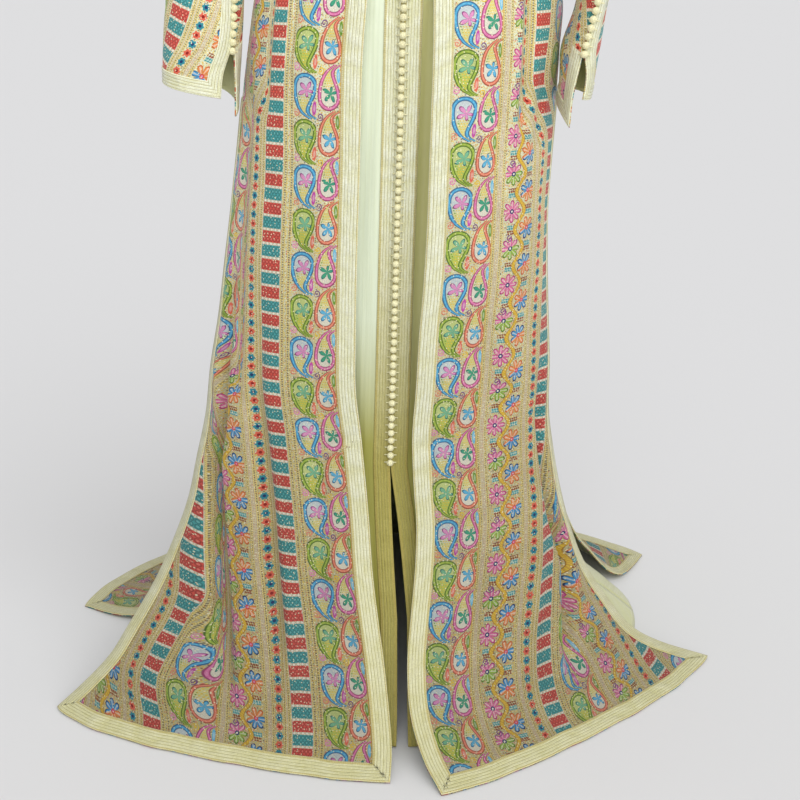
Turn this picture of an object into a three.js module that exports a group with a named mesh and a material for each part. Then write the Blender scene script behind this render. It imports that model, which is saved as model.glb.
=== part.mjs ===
// A takchita: a closed under-dress and, over it, an open robe with a train, worn with its belt.
// The garment keeps the hollow form of its wearer. Sizes are in millimetres, +Z is up, the front faces -Y.
// Heights are counted up from the floor that the hems touch; the origin is at the neck, where it is carried.
import * as THREE from "three";

const NECK_HEIGHT = 1430; // from the floor to the origin
const CLOTH = 2; // wall of the robe and the under-dress
const BRAID = 1.2; // wall of the flat braids sewn along the edges
const SEAM = 0.3; // air between neighbouring pieces
const BRAID_WIDTH = 26; // on the robe's edges
const CUFF_BRAID_WIDTH = 20;
const PLACKET_WIDTH = 24; // each braid beside the under-dress's buttons
const BUTTON_PITCH = 10.9;
const BUTTON_RADIUS = 5;
const CORD_RADIUS = 1.6; // what joins one knotted button to the next
const BUTTON_SIDES = 5;
const BELT_WALL = 2.5;
const BELT_HEIGHTS = [1078, 1050, 1022];
const ROBE_SLIT_TOP = 840; // height where the side slits begin
const DRESS_SLIT_TOP = 349; // height where the under-dress opens below its last button
const UNDERARM_HEIGHT = 1238;
// The under-dress leans to its own right down to its slit and back again below; its hem spreads to its left.
const DRESS_LEAN = {
  hip: { height: 977, x: 5 },
  slit: { height: DRESS_SLIT_TOP, x: -14 },
  shin: { height: 140, x: 3 },
  hemSpread: 1.04,
};
const NECK_HALF_WIDTH = 76; // of the robe's neck, at the shoulder seams
const NECK_TOP = 1425;
const BACK_NECK_DROP = 12;
const SHOULDER_TIP = { x: 196, height: 1380 };
const YOKE_FULLNESS = 2.4; // 2 would round the chest off as an ellipse, more makes it squarer
const FINE_STEPS = 96; // in measuring the length along a section
const MOST_HEM = 0.85; // the most of the last rows' distance that a hem's braid takes

// How a fold near another one, or near an edge, keeps its place: its lips take at most a share of its room,
// and its middle keeps so many lips' widths and rooms away.
const FOLD_ROOM = { lip: 0.25, before: 0.75, after: 0.6, lips: 1.5 };

const COLOURS = {
  print: 0xcdb98a,
  satin: 0xd3d6a2,
  braid: 0xdcdcae,
  buttons: 0xf0e9c8,
};

// Above the underarm each garment is a yoke: an inset from the robe's outside, and how deep its front and
// back stand at the underarm. Each row is a share of the way down from the shoulder seam, with the distance
// from the middle to the front edge and to the armhole there.
const YOKE_COLUMNS = ["share", "edgeX", "armholeX"];
const ROBE_YOKE = {
  inset: 0,
  frontDeep: 133,
  backDeep: 114,
  halfWidth: 206,
  rows: sections(YOKE_COLUMNS, [
    [0, 76, 196],
    [0.14, 73, 187],
    [0.42, 65, 180],
    [0.72, 56, 187],
    [0.88, 52, 197],
    [1, 50, 206],
  ]),
};
const DRESS_YOKE = {
  inset: 9,
  frontDeep: 121,
  backDeep: 102,
  halfWidth: 197,
  rows: sections(YOKE_COLUMNS, [
    [0, 84, 186],
    [0.14, 78, 178],
    [0.27, 60, 173],
    [0.38, 34, 171],
    [0.46, 0.4, 171],
    [0.72, 0.4, 176],
    [0.88, 0.4, 187],
    [1, 0.4, 197],
  ]),
};

// One row for each section from the chest down to the hem. Distances are outward and forward.
// height and sideHeight: at the front edge and at the side. round: 1 is a quarter ellipse, 2 a straight line.
const FRONT_COLUMNS = ["height", "sideHeight", "frontX", "frontY", "sideX", "sideY", "round"];
const ROBE_LEFT = sections(FRONT_COLUMNS, [
  [1170, 1170, 46, 136, 204, 0, 1],
  [1110, 1110, 43, 126, 190, 0, 1],
  [1078, 1078, 41, 121, 183, 0, 1],
  [1050, 1050, 40, 118, 180, 0, 1],
  [1022, 1022, 40, 120, 184, 0, 1],
  [977, 977, 41, 130, 196, 0, 1],
  [910, 910, 47, 133, 208, 0, 1],
  [840, 840, 50, 135, 219, 0, 1],
  [770, 770, 52, 137, 228, 5, 1],
  [700, 700, 55, 139, 238, 10, 1],
  [620, 620, 58, 142, 250, 22, 1],
  [545, 545, 60, 146, 261, 32, 1],
  [470, 470, 61, 151, 275, 44, 1],
  [400, 400, 54, 157, 284, 56, 1.02],
  [335, 335, 48, 168, 299, 69, 1.05],
  [275, 275, 43, 182, 313, 82, 1.1],
  [215, 215, 39, 201, 336, 95, 1.15],
  [155, 155, 31, 228, 365, 118, 1.2],
  [100, 100, 22, 262, 401, 151, 1.25],
  [55, 62, 15, 308, 427, 174, 1.3],
  [24, 30, 11, 352, 462, 197, 1.35],
  [2.3, 2.3, 13, 393, 499, 220, 1.4],
]);
const ROBE_RIGHT = sections(FRONT_COLUMNS, [
  [1170, 1170, 46, 136, 204, 0, 1],
  [1110, 1110, 43, 126, 194, 0, 1],
  [1078, 1078, 41, 121, 189, 0, 1],
  [1050, 1050, 40, 118, 190, 0, 1],
  [1022, 1022, 40, 120, 202, 0, 1],
  [977, 977, 42, 130, 219, 0, 1],
  [910, 910, 42, 133, 218, 0, 1],
  [840, 840, 40, 135, 216, 0, 1],
  [770, 770, 38, 137, 212, 2, 1],
  [700, 700, 36, 139, 209, 5, 1],
  [620, 620, 32, 142, 211, 11, 1],
  [545, 545, 26, 146, 215, 16, 1],
  [470, 470, 22, 151, 219, 23, 1],
  [400, 400, 17, 157, 220, 30, 1.02],
  [335, 335, 19, 168, 229, 37, 1.05],
  [275, 275, 23, 182, 241, 45, 1.1],
  [215, 215, 21, 201, 258, 51, 1.15],
  [155, 155, 15, 228, 282, 57, 1.25],
  [100, 100, 10, 264, 317, 62, 1.35],
  [55, 50, 14, 316, 358, 70, 1.45],
  [24, 24, 30, 370, 405, 76, 1.55],
  [2.3, 2.3, 54, 418, 481, 84, 1.65],
]);
const DRESS_FRONT = sections(FRONT_COLUMNS, [
  [1170, 1170, 0.4, 125, 193, 0, 0.85],
  [1110, 1110, 0.4, 112, 179, 0, 0.85],
  [1050, 1050, 0.4, 104, 169, 0, 0.9],
  [1022, 1022, 0.4, 106, 174, 0, 0.9],
  [977, 977, 0.4, 115, 185, 0, 0.9],
  [840, 840, 0.4, 117, 198, 0, 0.9],
  [700, 700, 0.4, 119, 190, 0, 0.95],
  [545, 545, 0.4, 123, 190, 0, 1],
  [425, 425, 0.4, 131, 196, 0, 1],
  [349, 349, 0.4, 138, 204, 0, 1],
  [275, 275, 4, 152, 215, 0, 1.02],
  [205, 205, 6, 176, 234, 0, 1.05],
  [140, 140, 7, 205, 262, -10, 1.05],
  [85, 85, 7, 240, 296, -25, 1.1],
  [40, 40, 7, 280, 338, -45, 1.1],
  [2.3, 2.3, 8, 315, 372, -60, 1.1],
]);
// Sections of the backs. backY is how far the middle stands behind the origin.
const BACK_COLUMNS = ["sideHeight", "leftX", "leftY", "rightX", "rightY", "backY", "round"];
const ROBE_BACK = sections(BACK_COLUMNS, [
  [1170, 204, 0, 204, 0, 114, 1],
  [1110, 190, 0, 194, 0, 106, 1],
  [1078, 183, 0, 189, 0, 102, 1],
  [1050, 180, 0, 190, 0, 100, 1],
  [1022, 184, 0, 202, 0, 104, 1],
  [977, 196, 0, 219, 0, 122, 1],
  [910, 208, 0, 218, 0, 134, 1],
  [840, 219, 0, 216, 0, 142, 1],
  [700, 232, 10, 209, 14, 156, 1],
  [545, 247, 24, 215, 32, 176, 1],
  [400, 268, 38, 226, 62, 204, 1],
  [275, 296, 50, 246, 100, 244, 1],
  [180, 330, 50, 268, 134, 292, 1],
  [100, 372, 38, 300, 152, 350, 1.05],
  [60, 392, 26, 330, 158, 386, 1.1],
  [24, 415, 20, 362, 160, 426, 1.15],
  [10, 440, 27, 388, 168, 452, 1.2],
  [5, 480, 42, 415, 205, 468, 1.28],
  [2.3, 531, 72, 443, 257, 482, 1.35],
]);
const DRESS_BACK = sections(BACK_COLUMNS, [
  [1170, 193, 0, 193, 0, 102, 0.9],
  [1110, 179, 0, 179, 0, 94, 0.9],
  [1050, 169, 0, 169, 0, 88, 0.9],
  [1022, 174, 0, 174, 0, 92, 0.9],
  [977, 185, 0, 185, 0, 106, 0.9],
  [840, 198, 0, 198, 0, 120, 0.9],
  [700, 190, 0, 190, 0, 126, 0.95],
  [545, 190, 0, 190, 0, 136, 1],
  [425, 196, 0, 196, 0, 148, 1],
  [349, 204, 0, 204, 0, 158, 1],
  [275, 215, 0, 215, 0, 174, 1],
  [205, 234, 0, 234, 0, 198, 1],
  [140, 262, 10, 262, 10, 230, 1],
  [85, 296, 25, 296, 25, 270, 1],
  [40, 338, 45, 338, 45, 316, 1],
  [2.3, 372, 60, 372, 60, 350, 1],
]);

// Folds run down a panel. from is how far along the section from its first edge the fold lies, and a fold that
// would pass the other edge keeps beside it. depth is inward.
const FOLD_COLUMNS = ["top", "full", "fade", "end", "from", "depth", "halfWidth"];
const ROBE_LEFT_FOLDS = sections(FOLD_COLUMNS, [
  [640, 330, 150, 20, 148, 15, 17],
  [760, 330, 130, 16, 285, 27, 16],
]);
const ROBE_RIGHT_FOLDS = sections(FOLD_COLUMNS, [
  [1012, 960, 880, 760, 132, 11, 10],
  [560, 250, 110, 14, 272, 26, 16],
]);
const ROBE_BACK_FOLDS = sections(FOLD_COLUMNS, [
  [900, 420, 120, 3, 130, 18, 30],
  [960, 420, 120, 3, 290, 20, 34],
  [900, 420, 120, 3, 450, 18, 30],
]);
const DRESS_LEFT_FOLDS = sections(FOLD_COLUMNS, [[760, 300, 90, 3, 110, 14, 22]]);
const DRESS_RIGHT_FOLDS = sections(FOLD_COLUMNS, [
  [760, 300, 90, 3, 90, 12, 20],
  [300, 120, 60, 3, 215, 16, 22],
]);
const DRESS_BACK_FOLDS = sections(FOLD_COLUMNS, [
  [800, 300, 90, 3, 150, 14, 30],
  [800, 300, 90, 3, 300, 14, 30],
]);

// Sections of a sleeve below its armhole: centre, half sizes across and front to back, and how much the ring
// leans with the arm.
const SLEEVE_COLUMNS = ["x", "y", "height", "across", "deep", "lean"];
const SLEEVE_LEFT = sections(SLEEVE_COLUMNS, [
  [237, 2, 1284, 26, 66, 56],
  [254, 4, 1236, 40, 62, 30],
  [259, 8, 1168, 45, 57, 10],
  [260, 14, 1100, 48, 53, 0],
  [259, 22, 1035, 50, 49, 0],
  [259, 32, 977, 52, 44, 0],
  [263, 44, 928, 52, 41, 0],
  [266, 52, 899, 50, 39, 0],
  [267, 58, 876, 49, 38, 0],
]);
const SLEEVE_RIGHT = sections(SLEEVE_COLUMNS, [
  [237, 2, 1284, 26, 66, 56],
  [254, 4, 1236, 40, 62, 30],
  [259, 8, 1168, 42, 59, 10],
  [261, 14, 1100, 37, 58, 0],
  [261, 22, 1035, 29, 57, 0],
  [256, 32, 977, 20, 55, 0],
  [241, 46, 920, 25, 49, 0],
  [237, 55, 886, 23, 46, 0],
  [233, 60, 858, 21, 45, 0],
]);
const SLEEVES = {
  // slitAt: degrees from the inner side of the arm towards its front. armholeStation: where the opening's line
  // meets the armhole. The drops lengthen each corner of the slit.
  left: {
    side: -1,
    rings: SLEEVE_LEFT,
    armholeStation: 2,
    slitAt: 34,
    slitTop: 930,
    gap: 34,
    frontDrop: 24,
    backDrop: 49,
  },
  right: {
    side: 1,
    rings: SLEEVE_RIGHT,
    armholeStation: 5,
    slitAt: 84,
    slitTop: 922,
    gap: 44,
    frontDrop: 6,
    backDrop: 42,
  },
};
const ARMHOLE_GAP = 0.6; // from the panels' armhole edge to the sleeve
const OPENING_EASE = 60; // height in which a sleeve's slit opens to its whole gap
const OPENING_START = 12; // above the slit's top
const OPENING_LINE = 0.4; // degrees from the middle of a sleeve's opening to each of its shut edges
const CORNER_ROWS = 3; // rows of a sleeve in which the corners of its slit hang lower
const SLEEVE_BUTTONS = { above: 1110, belowSlitTop: 8 };
const FIRST_BUTTON = 0.35; // share of the neckline's row above the first button of the under-dress

// Names the columns of a table, one object for each row.
function sections(columns, rows) {
  return rows.map((row) => Object.fromEntries(columns.map((name, i) => [name, row[i]])));
}

const mix = (a, b, t) => a + (b - a) * t;
const clamp01 = (t) => Math.min(1, Math.max(0, t));
const smooth = (t) => clamp01(t) ** 2 * (3 - 2 * clamp01(t));

const quarter = Math.PI / 2;

// The height of the robe's shoulder line at a distance from the middle.
function shoulderHeight(x) {
  const along = (Math.abs(x) - NECK_HALF_WIDTH) / (SHOULDER_TIP.x - NECK_HALF_WIDTH);
  return mix(NECK_TOP, SHOULDER_TIP.height, Math.max(0, along));
}

// A yoke's surface: how far forward (or back) it stands from the shoulder seam's plane.
function yokePoint(yoke, x, share, ahead) {
  const neck = ahead ? 0 : BACK_NECK_DROP * Math.max(0, 1 - (x / NECK_HALF_WIDTH) ** 2);
  const seam = shoulderHeight(x) - yoke.inset;
  const height = mix(seam - neck, UNDERARM_HEIGHT, share);
  const down = (seam - height) / (seam - UNDERARM_HEIGHT);
  const out = Math.min(1, Math.abs(x) / yoke.halfWidth);
  const crown = Math.max(0, 1 - out ** YOKE_FULLNESS) ** (1 / YOKE_FULLNESS);
  const deep = (ahead ? -yoke.frontDeep : yoke.backDeep) * crown * Math.sqrt(1 - (1 - down) ** 2);
  return new THREE.Vector3(x, deep, height);
}

// Rows of a front panel as functions of the share of the way from the front edge to the side.
function frontRows(yoke, table, side) {
  return [
    ...yoke.rows.map(({ share, edgeX, armholeX }) => ({
      pointAt: (t) => yokePoint(yoke, side * mix(edgeX, armholeX, Math.sin(quarter * t)), share, true),
      height: mix(NECK_TOP, UNDERARM_HEIGHT, share),
    })),
    ...table.map((section) => ({
      pointAt: (t) => {
        const out = Math.sin(quarter * t) ** section.round;
        const ahead = Math.max(0, Math.cos(quarter * t)) ** section.round;
        return new THREE.Vector3(
          side * mix(section.frontX, section.sideX, out),
          -mix(section.sideY, section.frontY, ahead),
          mix(section.height, section.sideHeight, t),
        );
      },
      height: section.height,
    })),
  ];
}

// Rows of a back panel, from its left side, behind, to its right side.
function backRows(yoke, table) {
  return [
    ...yoke.rows.map(({ share, armholeX }) => ({
      pointAt: (t) => yokePoint(yoke, armholeX * Math.sin(quarter * (2 * t - 1)), share, false),
      height: mix(NECK_TOP, UNDERARM_HEIGHT, share),
    })),
    ...table.map((section) => ({
      pointAt: (t) => {
        const turn = quarter * (2 * t - 1);
        const out = Math.sign(turn) * Math.abs(Math.sin(turn)) ** section.round;
        const behind = Math.max(0, Math.cos(turn)) ** section.round;
        return new THREE.Vector3(
          out * (out < 0 ? section.leftX : section.rightX),
          mix(mix(section.leftY, section.rightY, t), section.backY, behind),
          section.sideHeight,
        );
      },
      height: section.sideHeight,
    })),
  ];
}

// A row as a function of the length along it, from its first edge.
function evenRow(pointAt) {
  const fine = Array.from({ length: FINE_STEPS + 1 }, (_, i) => pointAt(i / FINE_STEPS));
  const along = [0];
  for (let i = 1; i < fine.length; i++) along.push(along[i - 1] + fine[i].distanceTo(fine[i - 1]));
  const length = along[along.length - 1];
  const at = (distance) => {
    let i = 1;
    while (i < along.length - 1 && along[i] < distance) i++;
    const t = clamp01((distance - along[i - 1]) / (along[i] - along[i - 1]));
    return fine[i - 1].clone().lerp(fine[i], t);
  };
  return { length, at };
}

// How deep a fold is at a height.
function foldDepth(fold, height) {
  const grow = smooth((fold.top - height) / (fold.top - fold.full));
  const shrink = smooth((height - fold.end) / (fold.fade - fold.end));
  return fold.depth * Math.min(grow, shrink);
}

// A panel as a grid of points, with one more row at the braid's inner edge where its hem has a braid.
// Its columns keep the braids' width at both edges, and go down each fold's two lips and its bottom.
function panelGrid({ rows: shapes, folds, between, edge, outward, seams, hemBraid, lean }) {
  const rows = shapes.map(({ pointAt, height }) => {
    const even = evenRow(pointAt);
    const stops = [{ from: edge, depth: 0 }];
    const room = (even.length - 2 * edge) / folds.length;
    folds.forEach((fold, i) => {
      const lip = Math.min(fold.halfWidth, room * FOLD_ROOM.lip);
      const lowest = edge + i * room * FOLD_ROOM.before + lip * FOLD_ROOM.lips;
      const after = (folds.length - 1 - i) * room * FOLD_ROOM.after + lip * FOLD_ROOM.lips;
      const highest = even.length - edge - after;
      const from = Math.min(highest, Math.max(lowest, fold.from));
      stops.push(
        { from: from - lip, depth: 0 },
        { from, depth: foldDepth(fold, height) },
        { from: from + lip, depth: 0 },
      );
    });
    stops.push({ from: even.length - edge, depth: 0 });
    const stations = [{ from: 0, depth: 0 }, stops[0]];
    between.forEach((steps, i) => {
      const [start, end] = [stops[3 * i], stops[3 * i + 1]];
      for (let k = 1; k < steps; k++) stations.push({ from: mix(start.from, end.from, k / steps), depth: 0 });
      stations.push(...stops.slice(3 * i + 1, 3 * i + 4));
    });
    stations.push({ from: even.length, depth: 0 });
    return stations.map(({ from, depth }) => {
      const point = even.at(from);
      const ahead = even.at(from + 2).sub(even.at(from - 2));
      const inward = new THREE.Vector3(ahead.y, -ahead.x, 0).normalize().multiplyScalar(outward);
      point.addScaledVector(inward, depth);
      return lean ? lean(point, height) : point;
    });
  });
  if (hemBraid) rows.splice(rows.length - 1, 0, aboveHem(rows, edge));
  const normals = gridNormals(rows, outward, false);
  for (const seam of seams) flattenSeam(rows, normals, seam);
  return { rows, normals, outward, closed: false };
}

// The row of points a braid's width above the last one.
function aboveHem(rows, width) {
  const above = rows[rows.length - 2];
  return rows[rows.length - 1].map((point, c) => {
    const up = above[c].clone().sub(point);
    return point.clone().addScaledVector(up, Math.min(MOST_HEM, width / up.length()));
  });
}

// Outward directions at a grid's points.
function gridNormals(rows, outward, closed) {
  const last = rows[0].length - 1;
  return rows.map((row, r) =>
    row.map((_, c) => {
      const left = closed ? (c + last) % (last + 1) : Math.max(0, c - 1);
      const right = closed ? (c + 1) % (last + 1) : Math.min(last, c + 1);
      const across = row[right].clone().sub(row[left]);
      const down = rows[Math.min(rows.length - 1, r + 1)][c].clone().sub(rows[Math.max(0, r - 1)][c]);
      return across.cross(down).normalize().multiplyScalar(outward);
    }),
  );
}

// At a seam the wall's edge stands square to the seam, and half a seam's gap back from it.
function flattenSeam(rows, normals, { column, fromRow, toRow, back }) {
  for (let r = fromRow; r <= toRow; r++) {
    const columns = column === "all" ? rows[r].map((_, c) => c) : [column === "last" ? rows[r].length - 1 : 0];
    for (const c of columns) {
      if (column === "all" && Math.abs(rows[r][c].y) > 1) continue;
      normals[r][c].y = 0;
      normals[r][c].normalize();
      rows[r][c].y += (back * SEAM) / 2;
    }
  }
}

// A closed wall over the cells of a grid that keep() accepts, from one distance off its surface to another.
function wall(grid, near, far, keep = () => true) {
  const { rows, normals, outward, closed } = grid;
  const columns = rows[0].length;
  const cellColumns = closed ? columns : columns - 1;
  const isCell = (r, c) => r >= 0 && r < rows.length - 1 && (closed || (c >= 0 && c < cellColumns));
  const kept = (r, c) => isCell(r, c) && keep(r, (c + columns) % columns);
  const vertices = [];
  const numbers = new Map();
  const vertex = (r, c, outer) => {
    const key = `${r},${c % columns},${outer}`;
    if (!numbers.has(key)) {
      const point = rows[r][c % columns].clone().addScaledVector(normals[r][c % columns], outer ? far : near);
      numbers.set(key, vertices.length / 3);
      vertices.push(point.x, point.y, point.z - NECK_HEIGHT);
    }
    return numbers.get(key);
  };
  const faces = [];
  const quad = (a, b, c, d) => {
    if (outward > 0) faces.push(a, b, c, a, c, d);
    else faces.push(a, c, b, a, d, c);
  };
  for (let r = 0; r < rows.length - 1; r++) {
    for (let c = 0; c < cellColumns; c++) {
      if (!kept(r, c)) continue;
      quad(vertex(r, c, 1), vertex(r, c + 1, 1), vertex(r + 1, c + 1, 1), vertex(r + 1, c, 1));
      quad(vertex(r, c, 0), vertex(r + 1, c, 0), vertex(r + 1, c + 1, 0), vertex(r, c + 1, 0));
      if (!kept(r - 1, c)) quad(vertex(r, c, 0), vertex(r, c + 1, 0), vertex(r, c + 1, 1), vertex(r, c, 1));
      if (!kept(r + 1, c))
        quad(vertex(r + 1, c + 1, 0), vertex(r + 1, c, 0), vertex(r + 1, c, 1), vertex(r + 1, c + 1, 1));
      if (!kept(r, c - 1)) quad(vertex(r + 1, c, 0), vertex(r, c, 0), vertex(r, c, 1), vertex(r + 1, c, 1));
      if (!kept(r, c + 1))
        quad(vertex(r, c + 1, 0), vertex(r + 1, c + 1, 0), vertex(r + 1, c + 1, 1), vertex(r, c + 1, 1));
    }
  }
  return closedGeometry(vertices, faces);
}

function closedGeometry(vertices, faces) {
  const geometry = new THREE.BufferGeometry();
  geometry.setAttribute("position", new THREE.Float32BufferAttribute(vertices, 3));
  geometry.setIndex(faces);
  geometry.computeVertexNormals();
  return geometry;
}

// Knotted buttons sewn side by side on their cord, as one turned string along a line of points.
function buttonString(line, towards) {
  const curve = new THREE.CurvePath();
  for (let i = 1; i < line.length; i++) curve.add(new THREE.LineCurve3(line[i - 1], line[i]));
  const count = Math.round(curve.getLength() / BUTTON_PITCH);
  const rings = [];
  for (let i = 0; i < count; i++) {
    rings.push([i / count, CORD_RADIUS]);
    rings.push([(i + 0.25) / count, BUTTON_RADIUS], [(i + 0.75) / count, BUTTON_RADIUS]);
  }
  rings.push([1, CORD_RADIUS]);
  const vertices = [];
  const faces = [];
  rings.forEach(([at, radius]) => {
    const centre = curve.getPointAt(at);
    const along = curve.getTangentAt(at);
    const across = along.clone().cross(towards).normalize();
    const out = across.clone().cross(along).normalize();
    for (let k = 0; k < BUTTON_SIDES; k++) {
      const turn = (2 * Math.PI * k) / BUTTON_SIDES;
      const point = centre.clone().addScaledVector(across, radius * Math.cos(turn));
      point.addScaledVector(out, radius * Math.sin(turn));
      vertices.push(point.x, point.y, point.z - NECK_HEIGHT);
    }
  });
  for (let i = 0; i < rings.length - 1; i++) {
    for (let k = 0; k < BUTTON_SIDES; k++) {
      const a = i * BUTTON_SIDES + k;
      const b = i * BUTTON_SIDES + ((k + 1) % BUTTON_SIDES);
      faces.push(a, a + BUTTON_SIDES, b, b, a + BUTTON_SIDES, b + BUTTON_SIDES);
    }
  }
  for (const [ring, flip] of [[0, false], [rings.length - 1, true]]) {
    for (let k = 1; k < BUTTON_SIDES - 1; k++) {
      const start = ring * BUTTON_SIDES;
      if (flip) faces.push(start, start + k + 1, start + k);
      else faces.push(start, start + k, start + k + 1);
    }
  }
  return closedGeometry(vertices, faces);
}

const takchita = new THREE.Group();
const materials = Object.fromEntries(
  Object.entries(COLOURS).map(([name, color]) => [
    name,
    new THREE.MeshStandardMaterial({ color, roughness: name === "print" ? 0.7 : 0.45, metalness: 0 }),
  ]),
);

function addPiece(name, geometry, material) {
  const mesh = new THREE.Mesh(geometry, materials[material]);
  mesh.name = name;
  takchita.add(mesh);
}

function dressLean(point, height) {
  const { hip, slit, shin, hemSpread } = DRESS_LEAN;
  if (point.x > 0) point.x *= mix(hemSpread, 1, clamp01(height / slit.height));
  const aboveSlit = clamp01((height - slit.height) / (hip.height - slit.height));
  const belowSlit = clamp01((slit.height - height) / (slit.height - shin.height));
  point.x += mix(mix(slit.x, hip.x, aboveSlit), shin.x, belowSlit);
  return point;
}

// The seams of a panel: along its shoulder, and down its sides from the underarm to where a slit begins.
function panelSeams(yoke, table, slitTop, columns, back) {
  const underarm = yoke.rows.length - 1;
  const lowest = table.findLastIndex((section) => section.sideHeight >= slitTop);
  return [
    { column: "all", fromRow: 0, toRow: 0, back },
    ...columns.map((column) => ({ column, fromRow: underarm, toRow: underarm + 1 + lowest, back })),
  ];
}

function robePanel(table, side, folds, between) {
  return panelGrid({
    rows: frontRows(ROBE_YOKE, table, side),
    folds,
    between,
    edge: BRAID_WIDTH,
    outward: -side,
    seams: panelSeams(ROBE_YOKE, table, ROBE_SLIT_TOP, ["last"], -1),
    hemBraid: true,
  });
}

function dressPanel(side, folds, between) {
  return panelGrid({
    rows: frontRows(DRESS_YOKE, DRESS_FRONT, side),
    folds,
    between,
    edge: PLACKET_WIDTH,
    outward: -side,
    seams: panelSeams(DRESS_YOKE, DRESS_FRONT, 0, ["last"], -1),
    lean: dressLean,
  });
}

const grids = {
  robeLeft: robePanel(ROBE_LEFT, -1, ROBE_LEFT_FOLDS, [3, 2, 2]),
  robeRight: robePanel(ROBE_RIGHT, 1, ROBE_RIGHT_FOLDS, [3, 3, 2]),
  robeBack: panelGrid({
    rows: backRows(ROBE_YOKE, ROBE_BACK),
    folds: ROBE_BACK_FOLDS,
    between: [3, 3, 3, 3],
    edge: BRAID_WIDTH,
    outward: 1,
    seams: panelSeams(ROBE_YOKE, ROBE_BACK, ROBE_SLIT_TOP, ["first", "last"], 1),
    hemBraid: true,
  }),
  dressLeft: dressPanel(-1, DRESS_LEFT_FOLDS, [3, 3]),
  dressRight: dressPanel(1, DRESS_RIGHT_FOLDS, [2, 2, 2]),
  dressBack: panelGrid({
    rows: backRows(DRESS_YOKE, DRESS_BACK),
    folds: DRESS_BACK_FOLDS,
    between: [3, 3, 3],
    edge: PLACKET_WIDTH,
    outward: 1,
    seams: panelSeams(DRESS_YOKE, DRESS_BACK, 0, ["first", "last"], 1),
    lean: dressLean,
  }),
};

// The armhole that the robe's panels leave, from the underarm up the front and down the back, with a point
// half way along each side.
function armholeRing(side) {
  const front = side < 0 ? grids.robeLeft : grids.robeRight;
  const underarm = ROBE_YOKE.rows.length - 1;
  const frontEdge = front.rows.slice(0, underarm + 1).map((row) => row[row.length - 1]);
  const backEdge = grids.robeBack.rows.slice(1, underarm).map((row) => row[side < 0 ? 0 : row.length - 1]);
  const corners = [...frontEdge.reverse(), ...backEdge].map((point) => point.clone());
  for (const seam of [0, underarm]) corners[seam].y = 0;
  return corners.flatMap((corner, i) => [
    corner.clone(),
    corner.clone().lerp(corners[(i + 1) % corners.length], 0.5),
  ]);
}

// The rows of a sleeve: the armhole, then the rings down the arm, opened along one line that is buttoned shut
// above the slit.
function sleeveGrid({ side, rings, armholeStation, slitAt, slitTop, gap, frontDrop, backDrop }) {
  const armhole = armholeRing(side);
  const stations = armhole.length;
  const first = [];
  for (let c = 0; c <= stations; c++) {
    const point = armhole[(armholeStation + c) % stations].clone();
    point.x += side * ARMHOLE_GAP;
    const next = armhole[(armholeStation + (c === 0 ? 1 : stations - 1)) % stations];
    const apart = c === 0 || c === stations ? SEAM : 0;
    point.addScaledVector(next.clone().sub(point).normalize(), apart);
    first.push(point);
  }
  const rows = [first];
  rings.forEach((ring, r) => {
    const open = gap * smooth((slitTop + OPENING_START - ring.height) / OPENING_EASE);
    const hemward = Math.max(0, (r + 1 - rings.length + CORNER_ROWS) / CORNER_ROWS);
    const row = [];
    for (let c = 0; c <= stations; c++) {
      const share = c / stations;
      const edge = open / 2 + OPENING_LINE;
      const angle = THREE.MathUtils.degToRad(slitAt + mix(edge, 360 - edge, share));
      const drop = hemward * mix(frontDrop, backDrop, share) * Math.abs(2 * share - 1) ** 1.5;
      row.push(
        new THREE.Vector3(
          side * (ring.x - ring.across * Math.cos(angle)),
          -(ring.y + ring.deep * Math.sin(angle)),
          ring.height - ring.lean * Math.cos(angle) - drop,
        ),
      );
    }
    rows.push(row);
  });
  rows.splice(rows.length - 1, 0, aboveHem(rows, CUFF_BRAID_WIDTH));
  const normals = gridNormals(rows, -side, false);
  for (const normal of normals[0]) {
    normal.x = 0;
    normal.normalize();
  }
  return { rows, normals, outward: -side, closed: false };
}

// A braid over the cells of a grid's first column, last column or hem that its plan names, each column from its
// own height down.
function braid(grid, { firstBelow = -Infinity, lastBelow = -Infinity, hem = true }) {
  const { rows } = grid;
  return wall(grid, SEAM, SEAM + BRAID, (r, c) => {
    const height = rows[r][0].z;
    const inFirst = c === 0 && height <= firstBelow;
    const inLast = c === rows[0].length - 2 && height <= lastBelow;
    return inFirst || inLast || (hem && r === rows.length - 2);
  });
}

// The robe's panels, each with one braid along its free edges.
for (const side of ["Left", "Right"]) {
  const grid = grids[`robe${side}`];
  addPiece(`robe_front_${side.toLowerCase()}`, wall(grid, -CLOTH, 0), "print");
  const edges = braid(grid, { firstBelow: Infinity, lastBelow: ROBE_SLIT_TOP });
  addPiece(`braid_front_${side.toLowerCase()}`, edges, "braid");
}
addPiece("robe_back", wall(grids.robeBack, -CLOTH, 0), "print");
const backEdges = braid(grids.robeBack, { firstBelow: ROBE_SLIT_TOP, lastBelow: ROBE_SLIT_TOP });
addPiece("braid_back", backEdges, "braid");

// The under-dress, with a braid on each side of its buttons.
const dressNeckRow = DRESS_YOKE.rows.findIndex((row) => row.edgeX < 1);
for (const side of ["Left", "Right"]) {
  const grid = grids[`dress${side}`];
  addPiece(`dress_front_${side.toLowerCase()}`, wall(grid, -CLOTH, 0), "satin");
  const placket = braid(grid, { firstBelow: grid.rows[dressNeckRow][0].z, hem: false });
  addPiece(`placket_${side.toLowerCase()}`, placket, "braid");
}
addPiece("dress_back", wall(grids.dressBack, -CLOTH, 0), "satin");

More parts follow.
